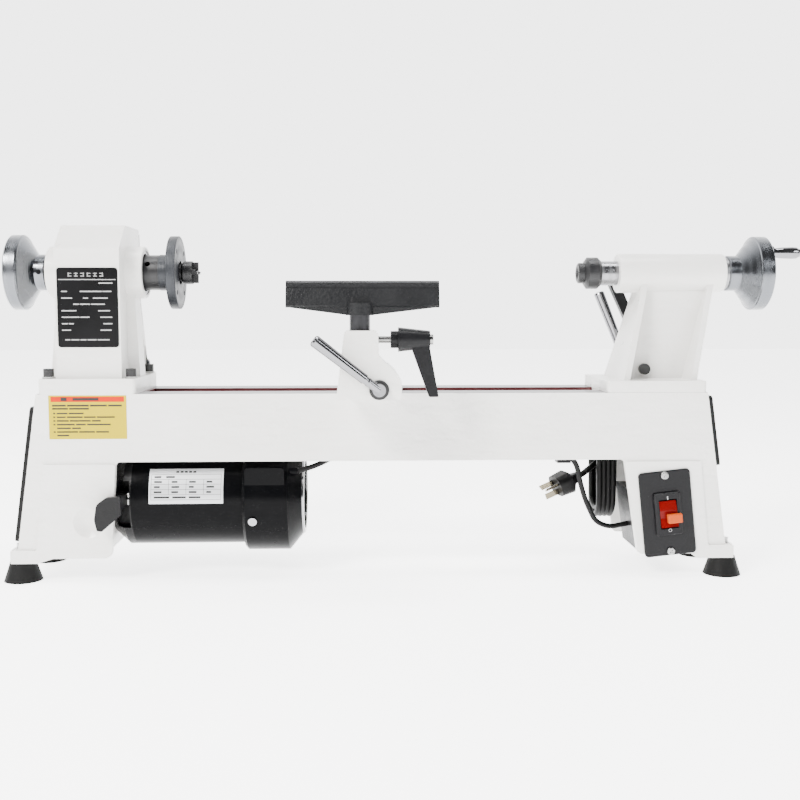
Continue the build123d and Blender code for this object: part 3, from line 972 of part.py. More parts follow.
BOX_LEFT_TOP, BOX_TOP, BOX_BOTTOM, BOX_REAR = 233.5, 90.0, LEG_BOTTOM + 1, 16.0
BOX_LEAN = (RIGHT_LEG_IN_BOTTOM - RIGHT_LEG_IN_TOP) / SKIRT_DEPTH
BOX_LEFT_BOTTOM = BOX_LEFT_TOP + 9.0
with BuildPart() as switch_box:
    outer = [(BOX_LEFT_TOP, BOX_TOP), (BOX_LEFT_BOTTOM, BOX_BOTTOM), (302, BOX_BOTTOM), (302, BOX_TOP)]
    inner = [(BOX_LEFT_TOP + 3, BOX_TOP - 2.5), (BOX_LEFT_BOTTOM + 3, BOX_BOTTOM + 2.5), (299.5, BOX_BOTTOM + 2.5),
             (299.5, BOX_TOP - 2.5)]
    slab(outer, -INNER + 0.2, BOX_REAR)
    slab(inner, -INNER - 1, BOX_REAR - 2.5, Mode.SUBTRACT)
    LEAD_EXIT_Y, LEAD_EXIT_Z = -16.0, 49.0
    round_x(225, 245, LEAD_RADIUS, LEAD_EXIT_Z, LEAD_EXIT_Y, Mode.SUBTRACT)
    CORD_EXIT_X, CORD_EXIT_Y = 252.0, 0.0
    round_z(CORD_EXIT_X, CORD_EXIT_Y, BOX_TOP - 4, BOX_TOP + 1, CORD_RADIUS + 1.2, Mode.SUBTRACT)
save(switch_box, "switch_box")


# ---------------------------------------------------------------- lead and cord
def route(points, radius, name):
    """A tube along straight runs joined by arcs, each arc as large as its two runs allow."""
    line = [Vector(x, BED_Y + y, z) for x, y, z in points]
    runs = [b - a for a, b in zip(line, line[1:])]
    radii = []
    for run, following in zip(runs, runs[1:]):
        half_turn = math.radians(run.get_angle(following)) / 2
        radii.append(0.45 * min(run.length, following.length) / math.tan(half_turn))
    with BuildPart() as tube:
        with BuildLine() as path:
            FilletPolyline(*line, radius=radii)
        with BuildSketch(Plane(origin=path.wires()[0] @ 0, z_dir=path.wires()[0] % 0)) as section:
            Circle(radius)
        sweep(section.sketch, path=path.wires()[0])
    length = path.wires()[0].length
    print(name, "length", round(length, 1), "radii", [round(r, 1) for r in radii],
          "turns", [round(a.get_angle(b)) for a, b in zip(runs, runs[1:])],
          "volume ratio", round(tube.part.volume / (length * math.pi * radius ** 2), 4))
    save(tube, name)


route([(239.5, -16, 49), (219, -17, 45), (203, -20, 52), (191, -26, 75), (183, -32, 98), (178, -38, 118),
       (166, -43, 130), (148, -45, 133.5), (115, -45.5, 134), (50, -43.5, 133), (-20, -45, 134), (-72, -44, 132),
       (-96, -44, 119), (LEAD_END_X + 0.8, LEAD_END_Y, LEAD_END_Z)], LEAD_RADIUS, "motor_lead")

HANK_LEFT, HANK_RIGHT, HANK_BOTTOM, HANK_TOP = 206.0, 231.8, 50.0, 156.0
HANK_FRONT, HANK_BACK = -9.0, 49.0
with BuildPart() as mains_cord_hank:
    with BuildSketch(across(HANK_LEFT)):
        with Locations(((HANK_FRONT + HANK_BACK) / 2, (HANK_BOTTOM + HANK_TOP) / 2)):
            SlotCenterToCenter(HANK_TOP - HANK_BOTTOM - (HANK_BACK - HANK_FRONT), HANK_BACK - HANK_FRONT,
                               rotation=90)
    extrude(amount=HANK_RIGHT - HANK_LEFT)
save(mains_cord_hank, "mains_cord_hank")

route([(CORD_EXIT_X, CORD_EXIT_Y, BOX_TOP + 16), (CORD_EXIT_X, CORD_EXIT_Y, 114), (249, 2.4, 124), (242.5, 6, 132.5),
       (HANK_RIGHT + 0.1, 9.5, 138.5)], CORD_RADIUS, "mains_cord_feed")

PLUG_AT = Vector(189, BED_Y, 99)
plug_axis = Vector(-0.9, -0.25, -0.35).normalized()
plug_flat = Vector(0.25, -0.9, 0).normalized()
route([(HANK_LEFT - 0.1, 8.2, 109), (199.5, 4.4, 105.2), (193.9, 1.5, 101.3), (189, 0, 99)], CORD_RADIUS,
      "mains_cord_tail")

with BuildPart() as mains_plug:
    plug_plane = Plane(origin=PLUG_AT, x_dir=plug_flat, z_dir=plug_axis)
    for start, end, size0, size1 in ((0, 9, 9, 13), (9, 15, 13, 30), (15, 30, 30, 27)):
        with BuildSketch(plug_plane.offset(start)) as foot:
            RectangleRounded(size0 + 2, size0 * 0.72 + 2, size0 * 0.3)
        with BuildSketch(plug_plane.offset(end)) as head:
            RectangleRounded(size1 + 2, size1 * 0.72 + 2, size1 * 0.3)
        loft([foot.sketch, head.sketch])
    with BuildSketch(plug_plane.offset(29.9)) as pins:
        for px, py, spin in ((-7, 3, 60), (7, 3, -60), (0, -6, 0)):
            with Locations((px, py)):
                Rectangle(1.6, 6.3, rotation=spin)
    extrude(pins.sketch, amount=15)
save(mains_plug, "mains_plug")

with BuildPart() as cord_fittings:
    # tie strap round the hank, tucked against the rear skirt
    block(HANK_LEFT - 1.6, HANK_RIGHT + 1.6, HANK_FRONT - 1.6, INNER - 0.2, 121, 126)
    block(HANK_LEFT - 0.1, HANK_RIGHT + 0.1, HANK_FRONT - 0.1, HANK_BACK + 0.1, 120, 127, Mode.SUBTRACT)
    # clip that holds the lead under the front skirt
    block(154, 168, -INNER + 0.1, -41, SKIRT_BOTTOM - 3.5, SKIRT_BOTTOM - 1.5)
    block(154, 168, -BED_HALF, -INNER + 1, SKIRT_BOTTOM - 3.5, SKIRT_BOTTOM)
    # tapered sleeve where the cord leaves the switch box
    with BuildSketch(level(BOX_TOP)) as gland_foot:
        with Locations((CORD_EXIT_X, CORD_EXIT_Y)):
            Circle(7)
    extrude(gland_foot.sketch, amount=4)
    with BuildSketch(level(BOX_TOP + 4)) as gland_base:
        with Locations((CORD_EXIT_X, CORD_EXIT_Y)):
            Circle(5.6)
    with BuildSketch(level(BOX_TOP + 16)) as gland_tip:
        with Locations((CORD_EXIT_X, CORD_EXIT_Y)):
            Circle(4.2)
    loft([gland_base.sketch, gland_tip.sketch])
save(cord_fittings, "cord_fittings")
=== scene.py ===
# Bench wood lathe: finishes, labels, cord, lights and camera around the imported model.
import math

import bmesh
import bpy
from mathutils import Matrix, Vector


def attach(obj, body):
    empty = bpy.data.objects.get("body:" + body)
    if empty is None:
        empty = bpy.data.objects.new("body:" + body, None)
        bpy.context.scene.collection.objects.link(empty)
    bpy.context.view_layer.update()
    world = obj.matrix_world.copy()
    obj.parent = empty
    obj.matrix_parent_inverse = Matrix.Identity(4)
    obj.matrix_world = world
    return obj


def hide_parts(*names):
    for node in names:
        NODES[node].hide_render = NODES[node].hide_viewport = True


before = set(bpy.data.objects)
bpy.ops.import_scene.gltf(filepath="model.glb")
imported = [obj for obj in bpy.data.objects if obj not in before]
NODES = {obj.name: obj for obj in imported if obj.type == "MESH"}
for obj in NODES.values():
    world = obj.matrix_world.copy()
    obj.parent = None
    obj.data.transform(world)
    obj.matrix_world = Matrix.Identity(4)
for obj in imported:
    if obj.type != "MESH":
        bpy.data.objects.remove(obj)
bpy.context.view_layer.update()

BED_Y = 0.0455           # centre plane of the bed, in metres
AXIS_Z = 0.320           # spindle axis
MOTOR_Z = 0.0815         # motor's axis
CRISP = 0.0002           # half width of the edge between two finishes


def at(x, y, z):
    """A point in millimetres, y from the bed's centre plane, as a vector in the row frame."""
    return Vector((x / 1000, BED_Y + y / 1000, z / 1000))


# ---------------------------------------------------------------- camera, floor and light
camera_data = bpy.data.cameras.new("camera")
camera_data.sensor_width = 36.0
camera_data.lens = 46.35
camera_data.clip_end = 20
camera = bpy.data.objects.new("camera", camera_data)
camera.location = (-0.049, BED_Y - 1.113, 0.2825)
camera.rotation_euler = (math.radians(90 - 5.1), 0, math.radians(-2.1))
bpy.context.collection.objects.link(camera)
bpy.context.scene.camera = camera


def light(name, position, target, size, power, colour=(1, 1, 1)):
    data = bpy.data.lights.new(name, "AREA")
    data.shape = "RECTANGLE"
    data.size, data.size_y = size
    data.energy = power
    data.color = colour
    lamp = bpy.data.objects.new(name, data)
    lamp.location = position
    lamp.rotation_euler = (Vector(target) - Vector(position)).to_track_quat("-Z", "Y").to_euler()
    bpy.context.collection.objects.link(lamp)


light("key", (-1.5, -1.6, 1.8), (0, 0, 0.2), (0.8, 0.8), 150, (1, 0.985, 0.965))
light("fill", (1.7, -1.5, 1.2), (0, 0, 0.2), (0.7, 0.7), 22, (0.96, 0.98, 1))
light("top", (0, -0.1, 2.1), (0, 0.05, 0.2), (1.6, 0.6), 60)


# ---------------------------------------------------------------- materials
class Shader:
    """A small node builder around one Principled shader."""

    def __init__(self, name):
        self.material = bpy.data.materials.new(name)
        self.material.use_nodes = True
        self.tree = self.material.node_tree
        self.bsdf = self.tree.nodes["Principled BSDF"]
        self.place = self.node("ShaderNodeTexCoord").outputs["Object"]

    def node(self, kind, **settings):
        made = self.tree.nodes.new(kind)
        for key, value in settings.items():
            setattr(made, key, value)
        return made

    def feed(self, socket, value):
        if isinstance(value, bpy.types.NodeSocket):
            self.tree.links.new(value, socket)
        elif value is not None:
            if socket.type == "RGBA" and not isinstance(value, (int, float)) and len(value) == 3:
                value = (*value, 1)
            socket.default_value = value

    def math(self, operation, first, second=None, third=None):
        made = self.node("ShaderNodeMath", operation=operation)
        for socket, value in zip(made.inputs, (first, second, third)):
            self.feed(socket, value)
        return made.outputs[0]

    def noise(self, scale, detail=3, rough=0.5, stretch=(1, 1, 1)):
        vector = self.place
        if stretch != (1, 1, 1):
            mapping = self.node("ShaderNodeMapping")
            self.feed(mapping.inputs["Vector"], vector)
            mapping.inputs["Scale"].default_value = stretch
            vector = mapping.outputs["Vector"]
        made = self.node("ShaderNodeTexNoise")
        self.feed(made.inputs["Vector"], vector)
        made.inputs["Scale"].default_value = scale
        made.inputs["Detail"].default_value = detail
        made.inputs["Roughness"].default_value = rough
        return made.outputs["Fac"]

    def remap(self, value, low, high, out_low=0.0, out_high=1.0):
        made = self.node("ShaderNodeMapRange")
        for socket, number in zip(made.inputs, (value, low, high, out_low, out_high)):
            self.feed(socket, number)
        return made.outputs["Result"]

    def mix(self, factor, first, second):
        made = self.node("ShaderNodeMix", data_type="RGBA")
        self.feed(made.inputs["Factor"], factor)
        self.feed(made.inputs["A"], first)
        self.feed(made.inputs["B"], second)
        return made.outputs["Result"]

    def axis(self, letter):
        made = self.node("ShaderNodeSeparateXYZ")
        self.feed(made.inputs[0], self.place)
        return made.outputs[letter]

    def normal(self, letter):
        geometry = self.node("ShaderNodeTexCoord")
        made = self.node("ShaderNodeSeparateXYZ")
        self.feed(made.inputs[0], geometry.outputs["Normal"])
        return made.outputs[letter]

    def between(self, value, low, high, soft):
        """1 where value is between low and high, fading over soft."""
        return self.math("MULTIPLY", self.remap(value, low - soft, low + soft),
                         self.remap(value, high - soft, high + soft, 1.0, 0.0))

    def radius(self, y, z):
        """Distance from a line along X."""
        dy = self.math("SUBTRACT", self.axis("Y"), y)
        dz = self.math("SUBTRACT", self.axis("Z"), z)
        return self.length(dy, dz)

    def length(self, first, second):
        squares = [self.math("MULTIPLY", value, value) for value in (first, second)]
        return self.math("SQRT", self.math("ADD", *squares))

    def bump(self, height, distance, strength=1.0):
        made = self.node("ShaderNodeBump")
        made.inputs["Distance"].default_value = distance
        made.inputs["Strength"].default_value = strength
        self.feed(made.inputs["Height"], height)
        before = self.bsdf.inputs["Normal"]
        if before.is_linked:
            self.tree.links.new(before.links[0].from_socket, made.inputs["Normal"])
        self.tree.links.new(made.outputs["Normal"], before)

    def set(self, **values):
        names = {"color": "Base Color", "metal": "Metallic", "rough": "Roughness", "coat": "Coat Weight",
                 "coat_rough": "Coat Roughness", "ior": "IOR"}
        for key, value in values.items():
            self.feed(self.bsdf.inputs[names[key]], value)
        return self


def dress(names, material):
    """Give CAD nodes this finish."""
    for name in names if isinstance(names, (list, tuple)) else (names,):
        for entry in NODES[name].material_slots:
            entry.material = material


WHITE, CREAM = (0.74, 0.73, 0.71), (0.70, 0.69, 0.66)
BED_TOP, SLOT_HALF = 0.195, 0.021


def white_paint(name, machined=False):
    """Cream-white enamel over sand casting; machined adds the bed's ground ways and its red slot."""
    s = Shader(name)
    tone = s.remap(s.noise(9, 4), 0.35, 0.65)
    colour = s.mix(tone, WHITE, CREAM)
    speck = s.remap(s.noise(900, 2), 0.72, 0.80)
    colour = s.mix(s.math("MULTIPLY", speck, 0.12), colour, (0.45, 0.42, 0.36))
    rough = s.remap(s.noise(35, 4), 0.3, 0.7, 0.26, 0.42)
    s.bump(s.noise(210, 3, 0.55), 0.0012, 0.45)
    s.bump(s.noise(38, 2, 0.5, (0.5, 1, 1.6)), 0.006, 0.3)
    metal = 0.0
    if machined:
        top = s.math("MULTIPLY", s.remap(s.axis("Z"), BED_TOP - 0.0005, BED_TOP - 0.0001),
                     s.remap(s.normal("Z"), 0.85, 0.95))
        from_middle = s.math("ABSOLUTE", s.math("SUBTRACT", s.axis("Y"), BED_Y))
        in_slot = s.math("MULTIPLY", s.remap(from_middle, SLOT_HALF + CRISP, SLOT_HALF - CRISP),
                         s.remap(s.axis("Z"), 0.182, 0.183))
        grain = s.noise(60, 4, 0.6, (1, 40, 1))
        steel = s.mix(grain, (0.10, 0.10, 0.105), (0.20, 0.20, 0.205))
        colour = s.mix(top, colour, steel)
        colour = s.mix(in_slot, colour, (0.055, 0.006, 0.008))
        metal = s.math("MULTIPLY", top, 0.35)
        enamel_rough = s.math("MULTIPLY", rough, s.math("SUBTRACT", 1.0, top))
        rough = s.math("ADD", enamel_rough, s.math("MULTIPLY", top, 0.55))
    s.set(color=colour, rough=rough, metal=metal, coat=0.25, coat_rough=0.12)
    return s.material


SATIN_DEPTH, LOW_SPECULAR = 0.3, 0.13   # satin blacks: colour factor, and specular level


def black_gloss(name):
    """Smooth black machine paint with a little dust."""
    s = Shader(name)
    rough = 0.2
    dust = s.remap(s.noise(60, 5, 0.65), 0.45, 0.8)
    s.bump(s.noise(120, 2), 0.0012, 0.10)
    s.bsdf.inputs["Specular IOR Level"].default_value = 0.045
    s.set(color=s.mix(s.math("MULTIPLY", dust, 0.25), (0.0016, 0.0017, 0.0020), (0.006, 0.006, 0.0065)),
          rough=s.remap(dust, 0, 1, rough, rough + 0.12))
    return s.material


def black_satin(name, colour, rough=0.42, grain=420, depth=0.0005, metal=0.0):
    """Black rubber, plastic or paint with a fine grain, greyer in patches of wear."""
    s = Shader(name)
    colour = tuple(c * SATIN_DEPTH for c in colour)
    s.bsdf.inputs["Specular IOR Level"].default_value = LOW_SPECULAR
    wear = s.remap(s.noise(30, 5, 0.7), 0.4, 0.75)
    s.bump(s.noise(grain, 3, 0.6), depth, 0.5)
    s.set(color=s.mix(s.math("MULTIPLY", wear, 0.5), colour, tuple(c * 2.2 for c in colour)),
          rough=s.remap(wear, 0, 1, rough - 0.06, rough + 0.1), metal=metal)
    return s.material


def turned_metal(name, y, z, colour, rough, pitch=0.0006, metal=1.0, depth=0.00004):
    """Metal with the fine rings that a lathe tool leaves about a line along X."""
    s = Shader(name)
    r = s.radius(y, z)
    along = s.math("ADD", r, s.math("MULTIPLY", s.axis("X"), 0.8))
    rings = s.math("SINE", s.math("MULTIPLY", along, 2 * math.pi / pitch))
    uneven = s.noise(40, 3)
    s.bump(s.math("MULTIPLY", rings, uneven), depth, 0.8)
    band = s.remap(s.math("SINE", s.math("MULTIPLY", along, 2 * math.pi / (pitch * 11))), -1, 1)
    wear = s.math("ADD", uneven, s.math("MULTIPLY", band, 0.4))
    s.set(color=s.mix(s.math("MULTIPLY", band, 0.3), colour, tuple(c * 0.8 for c in colour)), metal=metal,
          rough=s.remap(wear, 0.3, 1.1, rough - 0.05, rough + 0.14))
    return s.material


def plain_steel(name, colour, rough, scale=300):
    """Plated or bare steel with faint smears."""
    s = Shader(name)
    smear = s.noise(24, 5, 0.6)
    s.bump(s.noise(scale, 3), 0.0002, 0.3)
    s.set(color=s.mix(smear, colour, tuple(c * 0.82 for c in colour)), metal=1.0,
          rough=s.remap(smear, 0.3, 0.7, rough - 0.07, rough + 0.1))
    return s.material


paint = white_paint("white_paint")
dress("bed_casting", white_paint("white_paint_bed", machined=True))
dress(["headstock_casting", "tailstock_casting", "banjo_casting"], paint)
dress("rubber_feet", black_satin("foot_rubber", (0.012, 0.012, 0.012), 0.62, 260, 0.0008))
dress(["foot_bolts", "motor_studs", "banjo_clamp_bolt", "tailstock_clamp_bolt", "rest_lock_stud",
       "quill_lock_stud", "switch_screws"], plain_steel("zinc_plate", (0.30, 0.30, 0.295), 0.26))
dress(["banjo_clamp_plate", "tailstock_clamp_plate"], plain_steel("raw_plate", (0.35, 0.34, 0.33), 0.45, 180))
dress("crank_handle", plain_steel("chrome_plate", (0.22, 0.22, 0.23), 0.12, 120))


def cam_lever_finish(name, x, z, angle, ring_inner, ring_outer, dark_front=None):
    """Chromed lever whose shaft end sits in a black washer, the dark ring also painted shade of the bore
    recess; angle is the lever's direction.
    """
    s = Shader(name)
    smear = s.noise(24, 5, 0.6)
    s.bump(s.noise(120, 3), 0.0002, 0.3)
    dx, dz = s.math("SUBTRACT", s.axis("X"), x), s.math("SUBTRACT", s.axis("Z"), z)
    r = s.length(dx, dz)
    turn = math.radians(angle)
    along = s.math("ADD", s.math("MULTIPLY", dx, math.cos(turn)), s.math("MULTIPLY", dz, math.sin(turn)))
    across = s.math("ABSOLUTE", s.math("SUBTRACT", s.math("MULTIPLY", dz, math.cos(turn)),
                                       s.math("MULTIPLY", dx, math.sin(turn))))
    on_lever = s.math("MULTIPLY", s.remap(along, -CRISP, CRISP), s.remap(across, 0.0044, 0.0046, 1.0, 0.0))
    # dark ring about the shaft, off the lever arm: a black washer, and on the banjo lever also painted shade
    # of the bore recess
    black = s.math("MULTIPLY", s.between(r, ring_inner, ring_outer, 0.00015),
                   s.math("SUBTRACT", 1.0, on_lever))
    if dark_front is not None:
        black = s.math("MAXIMUM", black, s.remap(s.axis("Y"), dark_front, dark_front + CRISP, 1.0, 0.0))
    bright = s.math("SUBTRACT", 1.0, black)
    chrome = s.mix(smear, (0.22, 0.22, 0.23), (0.18, 0.18, 0.19))
    s.set(color=s.mix(black, chrome, (0.004, 0.004, 0.004)), metal=bright,
          rough=s.math("ADD", s.remap(smear, 0.3, 0.7, 0.07, 0.2), s.math("MULTIPLY", black, 0.3)))
    return s.material


dress("banjo_cam_lever", cam_lever_finish("banjo_lever_chrome", -0.033, 0.205, 142, 0.0062, 0.020))
dress("tailstock_cam_lever",
      cam_lever_finish("tail_lever_chrome", 0.255, 0.217, 112, 0.030, 0.031, dark_front=BED_Y - 0.010))
dress(["headstock_handwheel", "tailstock_handwheel"],
      turned_metal("wheel_metal", BED_Y, AXIS_Z, (0.145, 0.152, 0.165), 0.2, 0.0011, 1.0, 0.00003))
dress(["quill", "quill_screw", "bearing_inner_rings", "spindle_bearings"],
      turned_metal("ground_steel", BED_Y, AXIS_Z, (0.26, 0.26, 0.27), 0.2))
dress("tool_rest_post", plain_steel("post_steel", (0.05, 0.05, 0.053), 0.32))
dress(["spindle", "spur_centre", "live_centre"],
      turned_metal("blacked_steel", BED_Y, AXIS_Z, (0.010, 0.010, 0.011), 0.36, 0.0008, 0.3))
dress("faceplate",
      turned_metal("faceplate_steel", BED_Y, AXIS_Z, (0.020, 0.022, 0.026), 0.4, 0.0012, 0.5, 0.0001))
dress("spindle_pulley", turned_metal("pulley_upper", BED_Y, AXIS_Z, (0.6, 0.6, 0.6), 0.3))
dress(["motor_pulley", "motor_shaft"],
      turned_metal("pulley_lower", BED_Y, MOTOR_Z, (0.6, 0.6, 0.6), 0.3))
dress("drive_belt", black_satin("belt_rubber", (0.012, 0.012, 0.012), 0.6))
dress(["motor_shell", "motor_fan_cover"], black_gloss("motor_paint"))
dress("motor_end_bell", black_satin("bell_paint", (0.012, 0.012, 0.013), 0.3, 300, 0.0006))
dress("motor_trim", plain_steel("trim_chrome", (0.34, 0.34, 0.35), 0.18))
dress("motor_lock_lever", black_satin("lever_plastic", (0.02, 0.02, 0.021), 0.36))
dress("set_screws", black_satin("screw_black", (0.02, 0.02, 0.022), 0.3, 300, 0.0003, 0.5))


def headstock_bolt_finish():
    """Black socket bolts on bright washers."""
    s = Shader("bolt_black")
    washer = s.between(s.axis("Z"), 0.2104, 0.2124, 0.0001)
    s.bump(s.noise(300, 3), 0.0003, 0.4)
    s.set(color=s.mix(washer, (0.004, 0.004, 0.0045), (0.42, 0.42, 0.41)), metal=washer,
          rough=s.remap(s.noise(60, 3), 0.3, 0.7, 0.25, 0.38))
    return s.material


dress("headstock_bolts", headstock_bolt_finish())
dress(["rest_lock_handle", "quill_lock_handle"],
      black_satin("handle_paint", (0.016, 0.016, 0.018), 0.34, 520, 0.0005))
dress(["left_door", "right_door", "rear_cover"], black_satin("cover_paint", (0.015, 0.015, 0.016), 0.4))
dress(["left_door_knob", "right_door_knob", "rear_cover_knob", "switch_box", "cord_fittings"],
      black_satin("moulded_black", (0.012, 0.012, 0.013), 0.38))
dress("switch_plate", black_satin("switch_black", (0.016, 0.016, 0.018), 0.36, 600, 0.0004))
dress("motor_lead", black_satin("lead_rubber", (0.008, 0.008, 0.008), 0.4))


def tool_rest_finish():
    """Black cast rest, lighter grey and more metallic in patches along its top bead."""
    s = Shader("rest_iron")
    bright_top_bead = s.math("MULTIPLY", s.remap(s.axis("Z"), 0.3065, 0.309), s.remap(s.noise(70, 5, 0.7), 0.35, 0.6))
    s.bump(s.noise(330, 4, 0.6), 0.0010, 0.6)
    s.bsdf.inputs["Specular IOR Level"].default_value = 0.2
    s.set(color=s.mix(s.math("MULTIPLY", bright_top_bead, 0.65), (0.0055, 0.0058, 0.0065), (0.10, 0.10, 0.105)),
          metal=s.math("MULTIPLY", bright_top_bead, 0.6), rough=s.remap(s.noise(40, 4), 0.3, 0.7, 0.34, 0.5))
    return s.material


dress("tool_rest_bar", tool_rest_finish())


def plastic(name, colour, rough=0.25):
    """Coloured moulded plastic."""
    s = Shader(name)
    s.bump(s.noise(500, 2), 0.0002, 0.25)
    shade = s.noise(30, 3)
    s.bsdf.inputs["Specular IOR Level"].default_value = 0.12
    s.set(color=s.mix(shade, colour, tuple(c * 0.82 for c in colour)),
          rough=s.remap(shade, 0.2, 0.8, rough, rough + 0.12))
    return s.material


dress("switch_rocker", plastic("rocker_red", (0.12, 0.001, 0.001)))
dress("safety_key", plastic("key_orange", (0.42, 0.06, 0.005), 0.3))


def plate_finish():
    """Black printed plate with a fine satin grain."""
    s = Shader("plate_black")
    s.bsdf.inputs["Specular IOR Level"].default_value = 0.12
    s.bump(s.noise(700, 2), 0.0001, 0.3)
    s.set(color=s.mix(s.noise(50, 3), (0.0022, 0.0022, 0.0024), (0.004, 0.004, 0.0045)),
          rough=s.remap(s.noise(20, 4), 0.3, 0.7, 0.25, 0.36))
    return s.material


dress("nameplate", plate_finish())

PLUG_ROOT = at(189, 0, 99)
PLUG_AXIS = Vector((-0.9, -0.25, -0.35)).normalized()


def plug_finish():
    """Black moulded plug with bright flat pins."""
    s = Shader("plug_rubber")
    dot = s.node("ShaderNodeVectorMath", operation="DOT_PRODUCT")
    moved = s.node("ShaderNodeVectorMath", operation="SUBTRACT")
    s.feed(moved.inputs[0], s.place)
    moved.inputs[1].default_value = PLUG_ROOT
    s.feed(dot.inputs[0], moved.outputs["Vector"])
    dot.inputs[1].default_value = PLUG_AXIS
    pins = s.remap(dot.outputs["Value"], 0.0303, 0.0305)
    s.bump(s.noise(400, 3), 0.0004, 0.4)
    s.bsdf.inputs["Specular IOR Level"].default_value = LOW_SPECULAR
    s.set(color=s.mix(pins, (0.003, 0.003, 0.003), (0.16, 0.14, 0.10)), metal=pins,
          rough=s.remap(pins, 0, 1, 0.42, 0.25))
    return s.material


dress("mains_plug", plug_finish())


# ---------------------------------------------------------------- flat labels
def mesh_piece(name, body, boxes, material, bend=None):
    """One mesh of thin plates, each (centre, right, up, width, height, thickness); bend moves every point."""
    work = bmesh.new()
    for centre, right, up, width, height, thick in boxes:
        out = right.cross(up).normalized()
        steps = max(1, int(width / 0.006)) if bend else 1
        rows = max(1, int(height / 0.003)) if bend else 1
        grids = []
        for level in (0, thick):
            columns = [centre + out * level + right * (width * (i / steps - 0.5)) for i in range(steps + 1)]
            grids.append([[work.verts.new(column + up * (height * (j / rows - 0.5))) for j in range(rows + 1)]
                          for column in columns])
        low, high = grids
        for i in range(steps):
            for j in range(rows):
                work.faces.new((high[i][j], high[i + 1][j], high[i + 1][j + 1], high[i][j + 1]))
                work.faces.new((low[i][j], low[i][j + 1], low[i + 1][j + 1], low[i + 1][j]))
        for i in range(steps):
            work.faces.new((low[i][0], low[i + 1][0], high[i + 1][0], high[i][0]))
            work.faces.new((low[i + 1][rows], low[i][rows], high[i][rows], high[i + 1][rows]))
        for j in range(rows):
            work.faces.new((low[0][j + 1], low[0][j], high[0][j], high[0][j + 1]))
            work.faces.new((low[steps][j], low[steps][j + 1], high[steps][j + 1], high[steps][j]))
    if bend:
        for vert in work.verts:
            vert.co = bend(vert.co)
    mesh = bpy.data.meshes.new(name)
    work.to_mesh(mesh)
    work.free()
    mesh.materials.append(material)
    piece = bpy.data.objects.new(name, mesh)
    bpy.context.collection.objects.link(piece)
    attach(piece, body)
    return piece


RIGHT, UP = Vector((1, 0, 0)), Vector((0, 0, 1))


def bars(left, right, rows, y, height, pattern, thick=0.00012):
    """Rows of short bars that stand for lines of small print; pattern gives each row's run lengths."""
    made = []
    for row, z in enumerate(rows):
        x = left
        for index, run in enumerate(pattern[row % len(pattern)]):
            if x + run > right:
                break
            if index % 2 == 0:
                made.append((at(x + run / 2, y, z), RIGHT, UP, run / 1000, height / 1000, thick))
            x += run
    return made


def flat_colour(name, colour, rough=0.4, metal=0.0, variation=0.9):
    """Printed ink or label stock, slightly uneven."""
    s = Shader(name)
    s.bump(s.noise(600, 2), 0.00005, 0.3)
    s.bsdf.inputs["Specular IOR Level"].default_value = 0.08
    s.set(color=s.mix(s.noise(45, 4), colour, tuple(c * variation for c in colour)), metal=metal,
          rough=s.remap(s.noise(30, 3), 0.3, 0.7, rough - 0.05, rough + 0.08))
    return s.material


ink_white = flat_colour("ink_white", (0.34, 0.34, 0.34), 0.4)
ink_black = flat_colour("ink_black", (0.03, 0.03, 0.03), 0.45)
ink_red = flat_colour("ink_red", (0.50, 0.018, 0.0), 0.45)
sticker_yellow = flat_colour("sticker_yellow", (0.46, 0.36, 0.0), 0.7, 0.0, 0.95)
label_silver = flat_colour("label_silver", (0.62, 0.63, 0.65), 0.34, 0.35)

# the headstock's plate: a title, a rule line below it and rows of print
plate_left, plate_right, plate_y = -357.5, -299.7, -47.85
INK = 0.00012
rule = [(at((plate_left + plate_right) / 2, plate_y, 311.4), RIGHT, UP, (plate_right - plate_left) / 1000,
         0.0008, INK)]
title = []
for k in range(6):
    strokes = ((0, 1.3, 3.8, 0.7), (0, -1.5, 3.8, 0.7), ((k % 3 - 1) * 1.2, 0, 0.8, 4.2))
    title += [(at(-346 + 6.4 * k + dx, plate_y, 316.4 + dz), RIGHT, UP, width / 1000, height / 1000, INK)
              for dx, dz, width, height in strokes]
print_rows = [307.8, 299.4, 292.6, 286.4, 279.8, 273.2, 266.6, 260.0, 250.2]
rows = bars(-355, -302, print_rows, plate_y, 1.1,
            [(0, 38, 14), (6, 13, 22, 0.8, 9), (11, 11, 5, 5, 15), (0, 12, 6, 1, 10, 1, 14), (15, 22, 12),
             (18, 1, 9, 11, 12), (6, 1, 5, 30, 9), (9, 30, 11), (0, 3, 5, 1.2, 8, 1.2, 6, 1.2, 9, 1.2, 12)])
mesh_piece("nameplate_print", "frame", rule + title + rows, ink_white)

# the bed's sticker
sticker_y = -56.05
mesh_piece("bed_sticker", "frame", [(at(-329.2, sticker_y, 171.4), RIGHT, UP, 0.0788, 0.0448, 0.00025)],
           sticker_yellow)
mesh_piece("bed_sticker_band", "frame",
           [(at(-329.2, sticker_y - 0.25, 189.9), RIGHT, UP, 0.0740, 0.0052, 0.0001)], ink_red)
sticker_rows = bars(-365, -293, [183.4, 180.2], sticker_y - 0.25, 1.7,
                    [(14, 1.2, 22, 1.2, 17, 1.2, 14), (16, 1.2, 20)])
sticker_rows += bars(-364, -294, [175.4, 171.6, 167.8, 164.0, 160.2, 156.4, 152.8], sticker_y - 0.25, 1.5,
                     [(2, 1.5, 11, 1.2, 15), (2, 1.5, 9, 1.2, 16, 1.2, 12, 1.2, 18),
                      (2, 1.5, 12, 1.2, 21, 1.2, 9),
                      (2, 1.5, 18, 1.2, 10, 1.2, 24), (0, 3.5, 14, 1.2, 9), (2, 1.5, 21, 1.2, 16, 1.2, 13),
                      (0, 3.5, 12)])
mesh_piece("bed_sticker_print", "frame", sticker_rows, ink_black)
